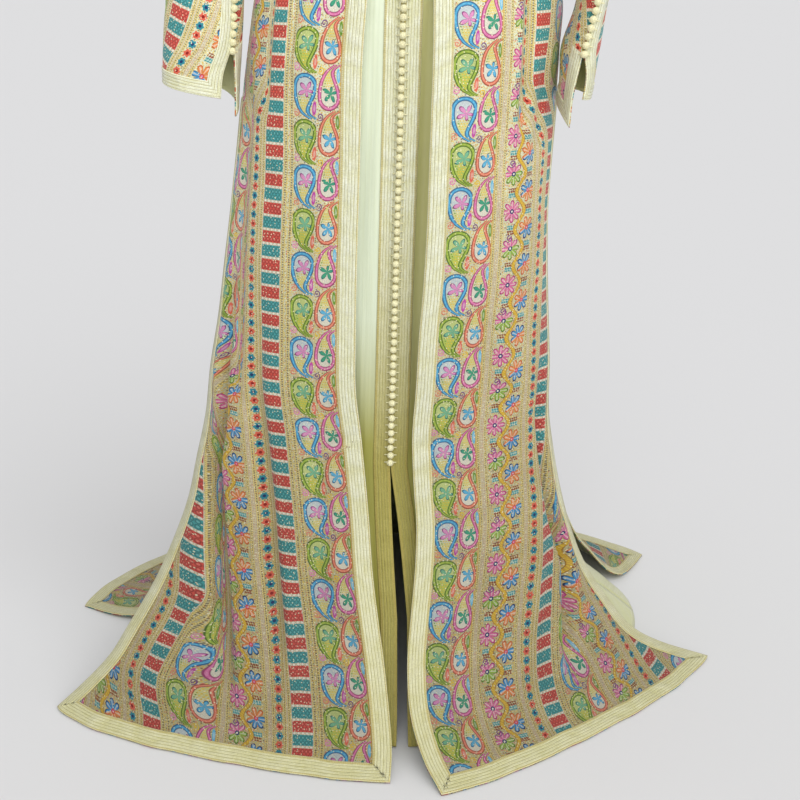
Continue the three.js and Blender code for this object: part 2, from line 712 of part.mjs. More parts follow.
// The buttons stand in front of the line where the two fronts of the under-dress meet.
const buttonLift = SEAM + BRAID + SEAM + BUTTON_RADIUS;
const buttonLine = grids.dressLeft.rows
  .slice(dressNeckRow)
  .map((row, i) => {
    const middle = row[0].clone().add(grids.dressRight.rows[dressNeckRow + i][0]).multiplyScalar(0.5);
    const ahead = grids.dressLeft.normals[dressNeckRow + i][0].clone().setX(0).normalize();
    return middle.addScaledVector(ahead, buttonLift);
  })
  .filter((point) => point.z >= DRESS_SLIT_TOP);
buttonLine[0].lerp(buttonLine[1], FIRST_BUTTON);
addPiece("buttons_front", buttonString(buttonLine, new THREE.Vector3(0, -1, 0)), "buttons");

// Sleeves, cuff braids and the buttons above each slit.
for (const [name, plan] of Object.entries(SLEEVES)) {
  const grid = sleeveGrid(plan);
  addPiece(`sleeve_${name}`, wall(grid, -CLOTH, 0), "print");
  addPiece(`cuff_braid_${name}`, braid(grid, { firstBelow: plan.slitTop, lastBelow: plan.slitTop }), "braid");
  const line = grid.rows
    .map((row, r) => {
      const middle = row[0].clone().add(row[row.length - 1]).multiplyScalar(0.5);
      return middle.addScaledVector(grid.normals[r][0], SEAM + BUTTON_RADIUS);
    })
    .filter(({ z }) => z < SLEEVE_BUTTONS.above && z > plan.slitTop - SLEEVE_BUTTONS.belowSlitTop);
  addPiece(`buttons_${name}_sleeve`, buttonString(line, new THREE.Vector3(plan.side * -0.3, -1, 0)), "buttons");
}

// The belt follows the robe's waist sections, over the braids and across the gap between the fronts.
const waistRow = (table, height) =>
  ROBE_YOKE.rows.length + table.findIndex((section) => section.sideHeight === height);
const beltRows = BELT_HEIGHTS.map((height) => {
  const left = grids.robeLeft.rows[waistRow(ROBE_LEFT, height)].toReversed();
  const right = grids.robeRight.rows[waistRow(ROBE_RIGHT, height)];
  const back = grids.robeBack.rows[waistRow(ROBE_BACK, height)].slice(1, -1).toReversed();
  return [...left, ...right, ...back];
});
const beltGrid = { rows: beltRows, normals: gridNormals(beltRows, -1, true), outward: -1, closed: true };
const beltInside = SEAM + BRAID + SEAM;
addPiece("belt", wall(beltGrid, beltInside, beltInside + BELT_WALL), "braid");

export default takchita;
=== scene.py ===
import math

import bmesh
import bpy
import numpy as np
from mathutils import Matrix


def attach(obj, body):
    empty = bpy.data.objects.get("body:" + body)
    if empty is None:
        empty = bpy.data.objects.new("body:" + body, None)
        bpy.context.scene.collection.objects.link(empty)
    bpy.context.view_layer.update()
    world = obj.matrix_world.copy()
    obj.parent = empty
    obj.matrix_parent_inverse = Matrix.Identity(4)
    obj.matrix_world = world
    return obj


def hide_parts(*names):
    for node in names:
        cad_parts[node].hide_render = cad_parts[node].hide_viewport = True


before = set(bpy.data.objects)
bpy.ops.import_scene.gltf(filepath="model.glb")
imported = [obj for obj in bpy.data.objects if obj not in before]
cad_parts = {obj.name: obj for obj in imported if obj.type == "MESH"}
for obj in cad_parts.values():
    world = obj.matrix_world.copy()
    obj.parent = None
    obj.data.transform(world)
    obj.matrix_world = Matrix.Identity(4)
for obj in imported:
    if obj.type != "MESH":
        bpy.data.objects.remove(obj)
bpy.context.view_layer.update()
scene = bpy.context.scene
print("takchita: frame loaded")

# The garment's sizes are in millimetres, with heights counted up from the floor that the hems touch. The
# studio's places and the finishes' heights on the whole object are in metres.
neckHeight = 1430
seamGap = 0.3
edgeRib = 0.45
quarter = math.pi / 2


# One dictionary for each row, keyed by the names.
def rowsOf(names, *rows):
    return [dict(zip(names.split(), row)) for row in rows]


def mix(a, b, t):
    return a + (b - a) * t


def smooth(t):
    t = np.clip(t, 0, 1)
    return t * t * (3 - 2 * t)


def meshOf(name, form):
    mesh = bpy.data.meshes.new(name)
    form.to_mesh(mesh)
    form.free()
    return mesh


def placed(name, mesh, finishes):
    for finish in finishes:
        mesh.materials.append(finish)
    piece = bpy.data.objects.new(name, mesh)
    scene.collection.objects.link(piece)
    return piece


# A chosen colour is written as it looks on a screen.
def asColour(colour):
    return colour if isinstance(colour, Value) else (*[part**2.2 for part in colour], 1)


class Value:
    def __init__(self, finish, socket):
        self.finish = finish
        self.socket = socket

    def math(self, operation, *others):
        return self.finish.node("ShaderNodeMath", {"operation": operation}, [self, *others])

    def __add__(self, other):
        return self.math("ADD", other)

    def __sub__(self, other):
        return self.math("SUBTRACT", other)

    def __rsub__(self, other):
        return self.finish.node("ShaderNodeMath", {"operation": "SUBTRACT"}, [other, self])

    def __mul__(self, other):
        return self.math("MULTIPLY", other)

    def __truediv__(self, other):
        return self.math("DIVIDE", other)

    def __pow__(self, other):
        return self.math("POWER", other)

    def __mod__(self, other):
        return self.math("FLOORED_MODULO", other)

    def __abs__(self):
        return self.math("ABSOLUTE")

    __radd__ = __add__
    __rmul__ = __mul__

    # how far it is from the middle of its cell, where every cell is 1 wide
    def centred(self):
        return self % 1 - 0.5

    # the number of its cell, and how far it is from that cell's middle
    def cell(self, pitch):
        number = (self / pitch).math("FLOOR")
        return number, self - number * pitch - pitch / 2


class Finish:
    def __init__(self, name, constants):
        self.material = bpy.data.materials.new(name)
        self.material.use_nodes = True
        self.tree = self.material.node_tree
        self.surface = self.tree.nodes["Principled BSDF"]
        for socket, value in constants.items():
            self.surface.inputs[socket].default_value = value

    def node(self, kind, settings=None, inputs=(), output=0):
        made = self.tree.nodes.new(kind)
        for key, value in (settings or {}).items():
            setattr(made, key, value)
        for key, value in inputs.items() if isinstance(inputs, dict) else enumerate(inputs):
            if isinstance(value, Value):
                self.tree.links.new(value.socket, made.inputs[key])
            else:
                made.inputs[key].default_value = value
        return Value(self, made.outputs[output])

    def split(self, vector, kind="ShaderNodeSeparateXYZ"):
        outputs = self.node(kind, {}, [vector]).socket.node.outputs
        return [Value(self, socket) for socket in outputs]

    # the place on the object, in metres from the neck: its output is the node's fourth
    def place(self):
        return self.node("ShaderNodeTexCoord", output=3)

    # millimetres across and along the cloth
    def clothPlace(self):
        uv = self.node("ShaderNodeUVMap", {"uv_map": "cloth"})
        x, y, _ = self.split(uv)
        return uv, x, y

    def noise(self, place, scale, detail, dimensions="2D"):
        inputs = {"Vector": place, "Scale": scale, "Detail": detail}
        return self.node("ShaderNodeTexNoise", {"noise_dimensions": dimensions}, inputs)

    # how far scattered points are, and a random number for each of them
    def scattered(self, place, scale):
        inputs = {"Vector": place, "Scale": scale}
        points = self.node("ShaderNodeTexVoronoi", {"voronoi_dimensions": "2D"}, inputs)
        colour = Value(self, points.socket.node.outputs["Color"])
        return points, self.split(colour, "ShaderNodeSeparateColor")[0]

    def stretched(self, place, scale):
        return self.node("ShaderNodeMapping", {}, {"Vector": place, "Scale": (1, scale, 1)})

    def far(self, x, y):
        return (x * x + y * y) ** 0.5

    def angle(self, x, y):
        return y.math("ARCTAN2", x)

    # 1 where the value is over nought, with a soft edge
    def inside(self, value, soft=0.5):
        settings = {"operation": "MULTIPLY_ADD", "use_clamp": True}
        return self.node("ShaderNodeMath", settings, [value, 1 / soft, 0.5])

    # 1 below a height in metres from the neck, with a soft edge
    def below(self, height, soft):
        return self.inside(height - self.split(self.place())[2], soft)

    # a curled thread, by the distances from its middle
    def curl(self, x, y, plan):
        reach = self.far(x, y)
        spiral = (reach * plan["coil"] - self.angle(x, y)).math("SINE")
        return self.inside(plan["radius"] - reach) * self.inside(spiral - plan["thin"], 0.6)

    # a Mix node takes its colours in its inputs 6 and 7, and gives one in its output 2
    def over(self, under, colour, mask, blend="MIX"):
        settings = {"data_type": "RGBA", "blend_type": blend}
        return self.node("ShaderNodeMix", settings, {0: mask, 6: asColour(under), 7: asColour(colour)}, 2)

    # the first two colours before the turn and the last two after it, and of each two by odd
    def oneOf(self, colours, odd, turn):
        first, second, third, fourth = colours
        return self.over(self.over(first, second, odd), self.over(third, fourth, odd), turn)

    def shaded(self, colour, light):
        grey = self.node("ShaderNodeCombineColor", {}, [light, light, light])
        return self.over(colour, grey, 1, "MULTIPLY")

    # painted shade: colours darken from the waist down to the hem, where less light falls
    def shadedTowardsHem(self, colour, amount):
        return self.shaded(colour, 1 - self.below(-0.88, 1.0) * amount)

    # painted shade: a tint below a height
    def shadeTintBelow(self, colour, plan, within=1):
        low = self.below(plan["top"] - plan["depth"] / 2, plan["depth"])
        return self.over(colour, plan["tone"], low * within, "MULTIPLY")

    def finish(self, colour, roughness, height, lift):
        bump = self.node("ShaderNodeBump", {}, {"Strength": 0.8, "Distance": lift / 1000, "Height": height})
        sockets = {"Base Color": colour, "Roughness": roughness, "Normal": bump}
        for name, value in sockets.items():
            self.tree.links.new(value.socket, self.surface.inputs[name])
        return self.material


# The camera stands in front at waist height and looks down.
studio = {
    "lens": 54,
    "cameraPlace": (0, -1.71, -0.41),
    "cameraPitch": 20,
    "farEnd": 200,
    "floorSize": 80,
    "paper": {"Base Color": (0.70, 0.70, 0.708, 1), "Roughness": 0.9, "Specular IOR Level": 0.1},
    "sky": {"Color": (1.0, 1.0, 1.0, 1), "Strength": 0.66},
    "key": {"strength": 1.85, "turn": (50, 0, 24), "softness": 70},
    "fill": {"strength": 0.15, "turn": (70, 0, 10), "softness": 60},
}


def makeStudio(plan):
    camera = bpy.data.objects.new("camera", bpy.data.cameras.new("camera"))
    camera.data.lens = plan["lens"]
    camera.data.clip_end = plan["farEnd"]
    camera.location = plan["cameraPlace"]
    camera.rotation_euler = (math.radians(90 - plan["cameraPitch"]), 0, 0)
    scene.collection.objects.link(camera)
    scene.camera = camera

    for name in ("key", "fill"):
        own = plan[name]
        light = bpy.data.lights.new(name, "SUN")
        light.energy = own["strength"]
        light.angle = math.radians(own["softness"])
        lamp = bpy.data.objects.new(name, light)
        lamp.rotation_euler = [math.radians(turn) for turn in own["turn"]]
        scene.collection.objects.link(lamp)

    world = bpy.data.worlds.new("sky")
    world.use_nodes = True
    for socket, value in plan["sky"].items():
        world.node_tree.nodes["Background"].inputs[socket].default_value = value
    scene.world = world
    scene.view_settings.view_transform = "Standard"

    form = bmesh.new()
    bmesh.ops.create_grid(form, x_segments=2, y_segments=2, size=plan["floorSize"] / 2)
    bmesh.ops.translate(form, verts=form.verts, vec=(0, 0, -neckHeight / 1000))
    floor = placed("floor", meshOf("floor", form), [Finish("paper", plan["paper"]).material])


thread = {
    "cream": (0.90, 0.92, 0.80),
    "tan": (0.73, 0.69, 0.50),
    "gold": (0.84, 0.66, 0.26),
    "yellow": (0.93, 0.78, 0.24),
    "blush": (0.88, 0.83, 0.71),
    "mauve": (0.62, 0.38, 0.30),
    "dark": (0.28, 0.20, 0.16),
    "blue": (0.20, 0.54, 0.78),
    "sky": (0.42, 0.76, 0.90),
    "green": (0.42, 0.60, 0.16),
    "lime": (0.72, 0.79, 0.34),
    "pink": (0.87, 0.34, 0.60),
    "rose": (0.93, 0.58, 0.74),
    "magenta": (0.78, 0.28, 0.66),
    "orange": (0.91, 0.42, 0.32),
    "coral": (0.87, 0.33, 0.28),
    "teal": (0.24, 0.60, 0.61),
    "navy": (0.10, 0.22, 0.42),
    "white": (0.97, 0.95, 0.88),
    "purple": (0.50, 0.32, 0.52),
    "leafGreen": (0.28, 0.66, 0.50),
    "brown": (0.55, 0.22, 0.14),
    "petalPink": (0.90, 0.44, 0.64),
    "petalGreen": (0.60, 0.74, 0.26),
    "petalApricot": (0.93, 0.55, 0.28),
    "petalBlue": (0.22, 0.58, 0.80),
    "rust": (0.80, 0.40, 0.20),
}

# In each motif distances are in millimetres, and a mask's second number is how soft its edge is.
# Drops stand in two columns, heads up in the left one and down in the right one. Of four colours two are the
# left column's and two the right one's, and each two take turns.
paisley = {
    "pitch": 58,
    "columns": (16.9, 50.3),
    "split": 33.6,
    "stagger": 11,
    "slim": (0.93, 1.14),
    "head": 12,
    "tail": -28,
    "headRadius": 16.6,
    "tailRadius": 3.0,
    "taper": 1.2,
    "lean": 3.8,
    "bend": 15.5,
    "hook": 3.5,
    "outline": 4.8,
    "hatches": 26,
    "sprig": (2.5, 7),
    "sprigReach": 12.5,
    "curl": {"radius": 5.3, "coil": 1.9, "thin": 0.05},
    "rims": (thread["green"], thread["blue"], thread["pink"], thread["orange"]),
    "crests": (thread["lime"], thread["sky"], thread["rose"], (0.96, 0.62, 0.50)),
    "fills": ((0.78, 0.83, 0.52), (0.80, 0.84, 0.84), (0.90, 0.88, 0.80), (0.90, 0.88, 0.80)),
    "tailFills": (thread["lime"], (0.86, 0.84, 0.52)),
    "darkLeaves": (thread["teal"], thread["magenta"], thread["teal"], thread["blue"]),
    "lightLeaves": ((0.52, 0.78, 0.60), (0.93, 0.62, 0.80), thread["leafGreen"], thread["sky"]),
    "slimLeaves": (thread["orange"], thread["magenta"], thread["sky"], thread["green"]),
    "curls": (thread["rose"], (0.90, 0.55, 0.45), thread["yellow"], thread["purple"]),
}


def paintPaisleys(f, colour, x, y):
    plan = paisley
    right = x.math("GREATER_THAN", plan["split"])
    number, upright = (y - right * plan["stagger"]).cell(plan["pitch"])
    odd = (number + right) % 2
    first, last = plan["columns"]
    slim, slimmer = plan["slim"]
    across = (x - first - right * (last - first)) * (right * (slimmer - slim) + slim)
    up = upright * (1 - right * 2)

    # how far inside the drop's edge: a round head whose tail bends to the right
    onAxis = f.node("ShaderNodeClamp", {}, [up, plan["tail"], plan["head"]])
    toTail = (plan["head"] - onAxis) / (plan["head"] - plan["tail"])
    bend = toTail**7 * plan["bend"] - toTail * plan["lean"]
    taper = (toTail * quarter).math("COSINE") ** plan["taper"]
    half = taper * (plan["headRadius"] - plan["tailRadius"]) + plan["tailRadius"] + toTail**8 * plan["hook"]
    inset = half - f.far(across - bend, up - onAxis)
    depth = inset - plan["outline"]
    drop, inner = f.inside(inset), f.inside(depth)

    # the outline with its hatched crest, the filling, and a dark thread at both edges of the outline
    hatch = f.inside((f.angle(across, up) * plan["hatches"] + up * 0.5).math("SINE"), 1.2)
    crest = f.inside(1.3 - abs(inset - plan["outline"] * 0.52), 1.2)
    rim = f.oneOf(plan["rims"], odd, right)
    rim = f.over(rim, f.oneOf(plan["crests"], odd, right), crest * (hatch * 0.35 + 0.6))
    tailFill = f.over(*plan["tailFills"], f.inside(odd + right - 0.5))
    fill = f.over(f.oneOf(plan["fills"], odd, right), tailFill, f.inside(toTail - 0.34, 0.3) * 0.85)
    colour = f.over(f.over(colour, rim, drop), fill, inner)
    edges = f.inside(0.85 - abs(inset - 0.3), 0.7) + f.inside(0.65 - abs(depth), 0.6)
    colour = f.over(colour, f.shaded(rim, 0.4), edges * 0.8)

    # dots down the tail, and a sprig of leaves in the head
    dot = f.far((across * 0.3 + up * 0.12).centred(), (up * 0.28).centred())
    dots = f.inside(0.27 - dot, 0.14) * f.inside(depth - 1.2) * f.inside(3 - up, 1)
    colour = f.over(colour, f.over(thread["yellow"], thread["green"], f.inside(abs(across) - 5)), dots)
    sprigX, sprigY = across - plan["sprig"][0], up - plan["sprig"][1]
    spokes = abs((f.angle(sprigX, sprigY) * 2.5 + 0.5).math("COSINE")) ** 0.9
    shorter = f.inside(sprigX * 0.8 - sprigY * 0.6, 4) * 3.5
    leaves = spokes * (plan["sprigReach"] - shorter) - f.far(sprigX, sprigY)
    sprig = f.inside(leaves) * f.inside(depth + 0.6)
    colour = f.over(colour, f.shaded(f.oneOf(plan["darkLeaves"], odd, right), 0.52), sprig)
    lit = f.inside(leaves - 1.6, 0.8) * sprig
    colour = f.over(colour, f.oneOf(plan["lightLeaves"], odd, right), lit * 0.9)

    # a slim leaf in the bend, and a curl beside each drop
    leaf = 1 - f.far((across - 13.2 - (up + 14) * 0.06) / 2.8, (up + 15) / 9)
    colour = f.over(colour, f.oneOf(plan["slimLeaves"], odd, right), f.inside(leaf, 0.25))
    colour = f.over(colour, thread["white"], f.inside(leaf - 0.5, 0.3) * 0.4)
    curl = f.curl(across + 11.5 + right * 1.5, up + 22 - right * 0.5, plan["curl"])
    colour = f.over(colour, f.oneOf(plan["curls"], odd, right), curl)
    return colour, drop * 0.4 + crest * 0.5 + f.inside(leaves, 2) * inner * 0.6 + curl * 0.3


# A stem winds between flowers: wheels in its left bays and fans in its right ones. Of four colours two are
# the lower petals' and two the upper ones', and each two take turns.
vine = {
    "pitch": 50,
    "middle": 109,
    "swing": 7.5,
    "half": 3.1,
    "bay": 14,
    "petal": 15.2,
    "patch": (7, 6.2),
    "curl": {"radius": 5.5, "coil": 1.8, "thin": 0},
    "wheels": (thread["petalPink"], thread["petalGreen"], thread["petalPink"], thread["petalPink"]),
    "fans": (thread["petalApricot"], thread["petalBlue"], thread["petalBlue"], thread["petalApricot"]),
    "wheelRims": ((0.72, 0.24, 0.48), (0.36, 0.50, 0.14), (0.72, 0.24, 0.48), (0.62, 0.24, 0.50)),
    "fanRims": (thread["rust"], thread["navy"], thread["navy"], thread["rust"]),
}


def paintVine(f, colour, x, y):
    plan = vine
    pitch, bay = plan["pitch"], plan["bay"]
    away = x - plan["middle"] - (y * (2 * math.pi / pitch)).math("SINE") * plan["swing"]
    right = away.math("GREATER_THAN", 0)
    number, up = (y + pitch / 4 - right * (pitch / 2)).cell(pitch)
    odd = number % 2
    across = x - (plan["middle"] - bay) - right * (2 * bay)

    # eight petals in a wheel and seven in a fan, with their veins, rims and hearts
    reach = f.far(across, up)
    spokes = abs((f.angle(across, up) * (4 - right * 0.5)).math("COSINE"))
    petals = spokes**0.34 * plan["petal"] - reach
    upper = f.inside(up * 0.9 - across * 0.45 - 0.5, 1.5)
    bloom = f.over(f.oneOf(plan["wheels"], odd, upper), f.oneOf(plan["fans"], odd, upper), right)
    colour = f.over(colour, bloom, f.inside(petals))
    veins = f.inside(spokes - 0.93, 0.06) * f.inside(petals - 2)
    colour = f.over(colour, thread["white"], veins * 0.5)
    rim = f.inside(0.95 - abs(petals - 0.6), 0.6)
    rims = f.over(f.oneOf(plan["wheelRims"], odd, upper), f.oneOf(plan["fanRims"], odd, upper), right)
    colour = f.over(colour, rims, rim)
    colour = f.over(colour, f.over(thread["navy"], thread["coral"], right), f.inside(3.3 - reach))
    colour = f.over(colour, f.over(thread["white"], thread["rose"], right), f.inside(1.4 - reach))

    # stitched knots between the flowers, by turns brown ones and teal ones on a pale block, and a curl
    between = up + pitch / 2 - f.inside(up, 0.1) * pitch
    stitch = f.far((across * 0.27 + between * 0.08).centred(), (between * 0.27).centred())
    knot = f.inside(0.2 - abs(stitch - 0.22), 0.16)
    patch = f.inside(plan["patch"][0] - abs(across - right * 2)) * f.inside(plan["patch"][1] - abs(between))
    tealPatch = f.over((0.74, 0.84, 0.78), thread["teal"], knot)
    brownPatch = f.over(colour, thread["brown"], knot)
    patches = f.over(tealPatch, brownPatch, abs(right - odd))
    colour = f.over(colour, patches, patch * f.inside(-1 - petals))
    curl = f.curl(across + 3, 14 - up, plan["curl"]) * odd * (1 - right)
    colour = f.over(colour, thread["purple"], curl)

    stem = f.inside(plan["half"] - abs(away))
    twist = f.inside((y * 1.9 + away * 1.2).math("SINE"), 1.6)
    colour = f.over(colour, f.over(thread["gold"], thread["yellow"], twist), stem)
    colour = f.over(colour, (0.66, 0.46, 0.10), f.inside(0.55 - abs(abs(away) - plan["half"])) * 0.8)
    return colour, f.inside(petals, 2) * 0.6 + stem * 0.9 + rim * 0.3


# Beaded blocks in two colours, on a pale ground with pearls between them. Each bead has a painted shaded rim
# and a painted highlight in its middle.
blocks = {
    "pitch": 19,
    "middle": 190,
    "half": (14.2, 7.8),
    "beadPitch": (5.2, 7),
    "ground": (0.93, 0.90, 0.80),
    "tones": ((0.88, 0.34, 0.29), (0.29, 0.65, 0.65)),
    "beadHighlights": ((0.96, 0.62, 0.55), (0.56, 0.82, 0.80)),
    "pearlRim": (0.70, 0.60, 0.42),
}


def paintBlocks(f, colour, x, y):
    plan = blocks
    across = x - plan["middle"]
    number, up = y.cell(plan["pitch"])
    odd = number % 2
    wide = f.inside(plan["half"][0] + 0.6 - abs(across))
    block = f.inside(plan["half"][0] - abs(across)) * f.inside(plan["half"][1] - abs(up))
    bead = f.far((across / plan["beadPitch"][0] + 0.5).centred(), (up / plan["beadPitch"][1]).centred())
    tone = f.over(*plan["tones"], odd)
    # painted shade: a darker ring round each bead's edge; painted highlight: a lighter middle in each bead
    tone = f.over(tone, f.shaded(tone, 0.42), f.inside(0.11 - abs(bead - 0.36), 0.1) * 0.8)
    tone = f.over(tone, f.over(*plan["beadHighlights"], odd), f.inside(0.2 - bead, 0.16) * 0.4)
    colour = f.over(f.over(colour, plan["ground"], wide), tone, block)
    toPearl = f.far((across * 0.17 + 0.5).centred(), (plan["pitch"] / 2 - abs(up)) * 0.2)
    pearl = f.inside(0.34 - toPearl, 0.1) * wide
    colour = f.over(colour, thread["white"], pearl)
    colour = f.over(colour, plan["pearlRim"], f.inside(0.07 - abs(toPearl - 0.38), 0.05) * wide * 0.7)
    return colour, block * (f.inside(0.4 - bead, 0.4) * 0.8 + 0.2) + pearl * 0.8


# Small florets of six petals in two colours, with dark dots between them.
florets = {
    "pitch": 12.5,
    "middle": 157.5,
    "radius": 5,
    "wave": 0.7,
    "tones": (thread["orange"], (0.18, 0.56, 0.62)),
    "hearts": ((0.60, 0.12, 0.10), thread["navy"]),
}


def paintFlorets(f, colour, x, y):
    plan = florets
    across = x - plan["middle"]
    number, up = y.cell(plan["pitch"])
    reach = f.far(across, up)
    edge = (f.angle(across, up) * 6).math("COSINE") * plan["wave"] + plan["radius"] - reach
    colour = f.over(colour, f.over(*plan["tones"], number % 2), f.inside(edge))
    colour = f.over(colour, f.over(*plan["hearts"], number % 2), f.inside(2.1 - reach))
    dot = f.inside(1 - f.far(across, abs(up) - plan["pitch"] / 2))
    colour = f.over(colour, thread["dark"], dot * 0.7)
    return colour, f.inside(edge, 2) * 0.8


# Narrow bands between the others, each by its middle and its width: twisted gold cords, rows of dark dots
# and a blush strip with small ticks.
chains = ((73.5, 15), (144, 14), (169, 10), (208.3, 5), (216.7, 5))


def paintChains(f, colour, x, y):
    depth = None
    for middle, width in chains:
        out = abs(x - middle) - width / 2
        depth = depth.math("MINIMUM", out) if depth else out
    strip = f.inside(-3.7 - depth, 0.6)
    colour = f.over(colour, thread["blush"], strip * 0.55)
    toTick = f.far((x * 0.42).centred(), (y * 0.26 + x * 0.05).centred() * 0.8)
    tick = f.inside(0.3 - toTick, 0.2) * f.inside(-4.2 - depth)
    colour = f.over(colour, thread["mauve"], tick * 0.4)
    twist = f.inside((y * 2.2 + x * 1.4).math("SINE") + 0.2, 1)
    cords = f.inside(0.75 - abs(depth + 0.6), 0.4) + f.inside(0.7 - abs(depth + 3.2), 0.4)
    colour = f.over(colour, f.over((0.81, 0.72, 0.45), (0.95, 0.87, 0.54), twist), cords)
    dots = f.inside(0.75 - f.far(depth + 1.9, (y * 0.3).centred() * 3.3), 0.5)
    colour = f.over(colour, thread["dark"], dots * 0.75)
    return colour, cords * (twist * 0.5 + 0.3) + strip * 0.2


# The print repeats across the cloth at this width, and its bands end here.
chart = {"width": 220, "paisleysEnd": 67.2, "vineHalf": 27, "floretsHalf": 6.3, "border": 64.8}


def printedCloth():
    f = Finish("embroideredCloth", {"Sheen Weight": 0.15, "Specular IOR Level": 0.3})
    uv, across, y = f.clothPlace()
    x = across % chart["width"]

    # the ground, darker towards the hem, partly its own tan and partly painted shade, with seeds scattered
    # over it
    low = f.below(-0.85, 0.75)
    colour = f.over(thread["cream"], thread["tan"], low * 0.85)
    colour = f.over(colour, (0.86, 0.81, 0.60), f.inside(f.noise(uv, 0.35, 2) - 0.52, 0.2) * 0.4)
    seeds, kind = f.scattered(uv, 0.34)
    tone = thread["yellow"]
    for name, start in (("gold", 0.4), ("coral", 0.72), ("dark", 0.86)):
        tone = f.over(tone, thread[name], f.inside(kind - start, 0.1))
    colour = f.over(colour, tone, f.inside(0.31 - seeds, 0.12) * 0.8)

    colour, relief = paintChains(f, colour, x, y)
    bands = (
        (paintPaisleys, x.math("LESS_THAN", chart["paisleysEnd"])),
        (paintVine, f.inside(chart["vineHalf"] - abs(x - vine["middle"]), 0.1)),
        (paintBlocks, 1),
        (paintFlorets, f.inside(chart["floretsHalf"] - abs(x - florets["middle"]), 0.1)),
    )
    for paint, within in bands:
        painted, raised = paint(f, colour, x, y)
        colour = f.over(colour, painted, within)
        relief = relief + raised * within
    colour = f.over(colour, thread["gold"], f.inside(0.8 - abs(x - chart["border"])) * 0.8)

    # sequins, painted pale as bright glints, and the small unevenness of hand work
    spangles, kind = f.scattered(uv, 0.2)
    sequinGlint = f.inside(0.15 - spangles, 0.06) * f.inside(kind - 0.62 + low * 0.25, 0.05)
    colour = f.over(colour, (1.0, 0.96, 0.80), sequinGlint)
    noise = f.noise(uv, 0.9, 3)
    colour = f.shaded(colour, noise * 0.9 + 0.50 + (f.noise(uv, 0.02, 2) - 0.5) * 0.25)
    # painted shade, darker towards the hem
    colour = f.shadedTowardsHem(colour, 0.54)
    relief = relief + noise * 0.5 + f.noise(uv, 0.05, 3) * 5
    return f.finish(colour, 0.64 - sequinGlint * 0.4, relief, 0.6)


# painted shade towards the hem: the braids darken a little and yellow, and the plackets turn olive lower
# down
outerHemShade = {"tone": (0.99, 0.97, 0.86), "top": -0.95, "depth": 0.5}
placketLowShade = {"tone": (0.76, 0.71, 0.38), "top": -0.72, "depth": 0.36}


# Ribs run along the braid, and gold lines at their own distances from its first edge.
def braidFinish(name, ribs, width, low, goldLines=()):
    f = Finish(name, {"Sheen Weight": 0.2, "Specular IOR Level": 0.45})
    uv, across, along = f.clothPlace()
    turn = 2 * math.pi * ribs / width
    rib = (across * turn).math("COSINE")
    finer = (across * (3 * turn)).math("COSINE")
    noise = f.noise(uv, 0.5, 4)
    # painted sheen: pale blotchy streaks along the braid stand in for its shine
    streaks = f.noise(f.stretched(uv, 0.06), 0.8, 3)
    wavy = f.noise(uv, 0.045, 2)
    paintedSheen = f.inside(streaks * 0.6 + wavy * 0.4 - 0.5, 0.3)
    colour = f.over((0.91, 0.91, 0.73), (0.99, 1.0, 0.92), paintedSheen)
    # painted shade towards the hem
    colour = f.shadeTintBelow(colour, low)
    # painted shade: darker grooves between the ribs and between the finer ribs
    colour = f.over(colour, (0.66, 0.61, 0.34), f.inside(-0.66 - rib, 0.45) * 0.6)
    colour = f.over(colour, (0.85, 0.84, 0.62), f.inside(-0.7 - finer, 0.5) * 0.35)
    stitch = (along * 2.6).math("SINE") * 0.3 + 0.6
    for place in goldLines:
        colour = f.over(colour, (0.80, 0.71, 0.34), f.inside(0.6 - abs(across - place)) * stitch)
    twill = (along * 4.2 + rib * 1.4).math("SINE")
    colour = f.shaded(colour, noise * 0.5 + 0.78 + twill * 0.09)
    # painted shade, darker towards the hem
    colour = f.shadedTowardsHem(colour, 0.28)
    relief = rib * 0.6 + finer * 0.3 + twill * 0.22 + noise * 0.3 + wavy * 8
    return f.finish(colour, noise * 0.2 + 0.3, relief, 0.5)


# In metres from the neck, all painted shade: a dark hollow beside the buttons where the cloth folds in, and
# deeper olive tones by the slit and at the hem.
satinShades = {
    "front": -0.02,
    "soft": 0.02,
    "middle": 0.037,
    "half": 0.026,
    "end": (-1.05, 0.1),
    "colour": (0.80, 0.78, 0.47),
    "amount": 0.85,
    "slitHalf": (0.1, 0.06),
    "slit": {"tone": (0.78, 0.74, 0.42), "top": -0.87, "depth": 0.18},
    "hem": {"tone": (0.95, 0.92, 0.76), "top": -0.98, "depth": 0.4},
}


def satinFinish(name, colour, shade, roughness, low=None):
    constants = {"Sheen Weight": 0.25, "Specular IOR Level": 0.5, "Anisotropic": 0.35}
    f = Finish(name, constants)
    uv, across, along = f.clothPlace()
    streak = f.stretched(uv, 0.03)
    slubs = f.noise(streak, 0.35, 4)
    weave = (across * 5.5).math("SINE") * (along * 5.5).math("SINE")
    tone = f.over(colour, shade, slubs * 0.55)
    if low:
        # painted shade: a darker olive hollow beside the buttons, and darker tones by the slit and at the
        # hem
        side, front, height = f.split(f.place())
        ahead = f.inside(low["front"] - front, low["soft"])
        hollowShade = f.inside(low["half"] - abs(side - low["middle"]), low["soft"]) * ahead
        end, softEnd = low["end"]
        tone = f.over(tone, low["colour"], hollowShade * f.inside(height - end, softEnd) * low["amount"])
        slitHalf, softSlit = low["slitHalf"]
        tone = f.shadeTintBelow(tone, low["slit"], f.inside(slitHalf - abs(side), softSlit) * ahead)
        tone = f.shadeTintBelow(tone, low["hem"])
    # painted shade, darker towards the hem
    tone = f.shadedTowardsHem(tone, 0.36)
    soft = f.noise(streak, 0.06, 2)
    return f.finish(tone, slubs * 0.12 + (roughness - 0.06), slubs + weave * 0.12 + soft * 9, 0.35)


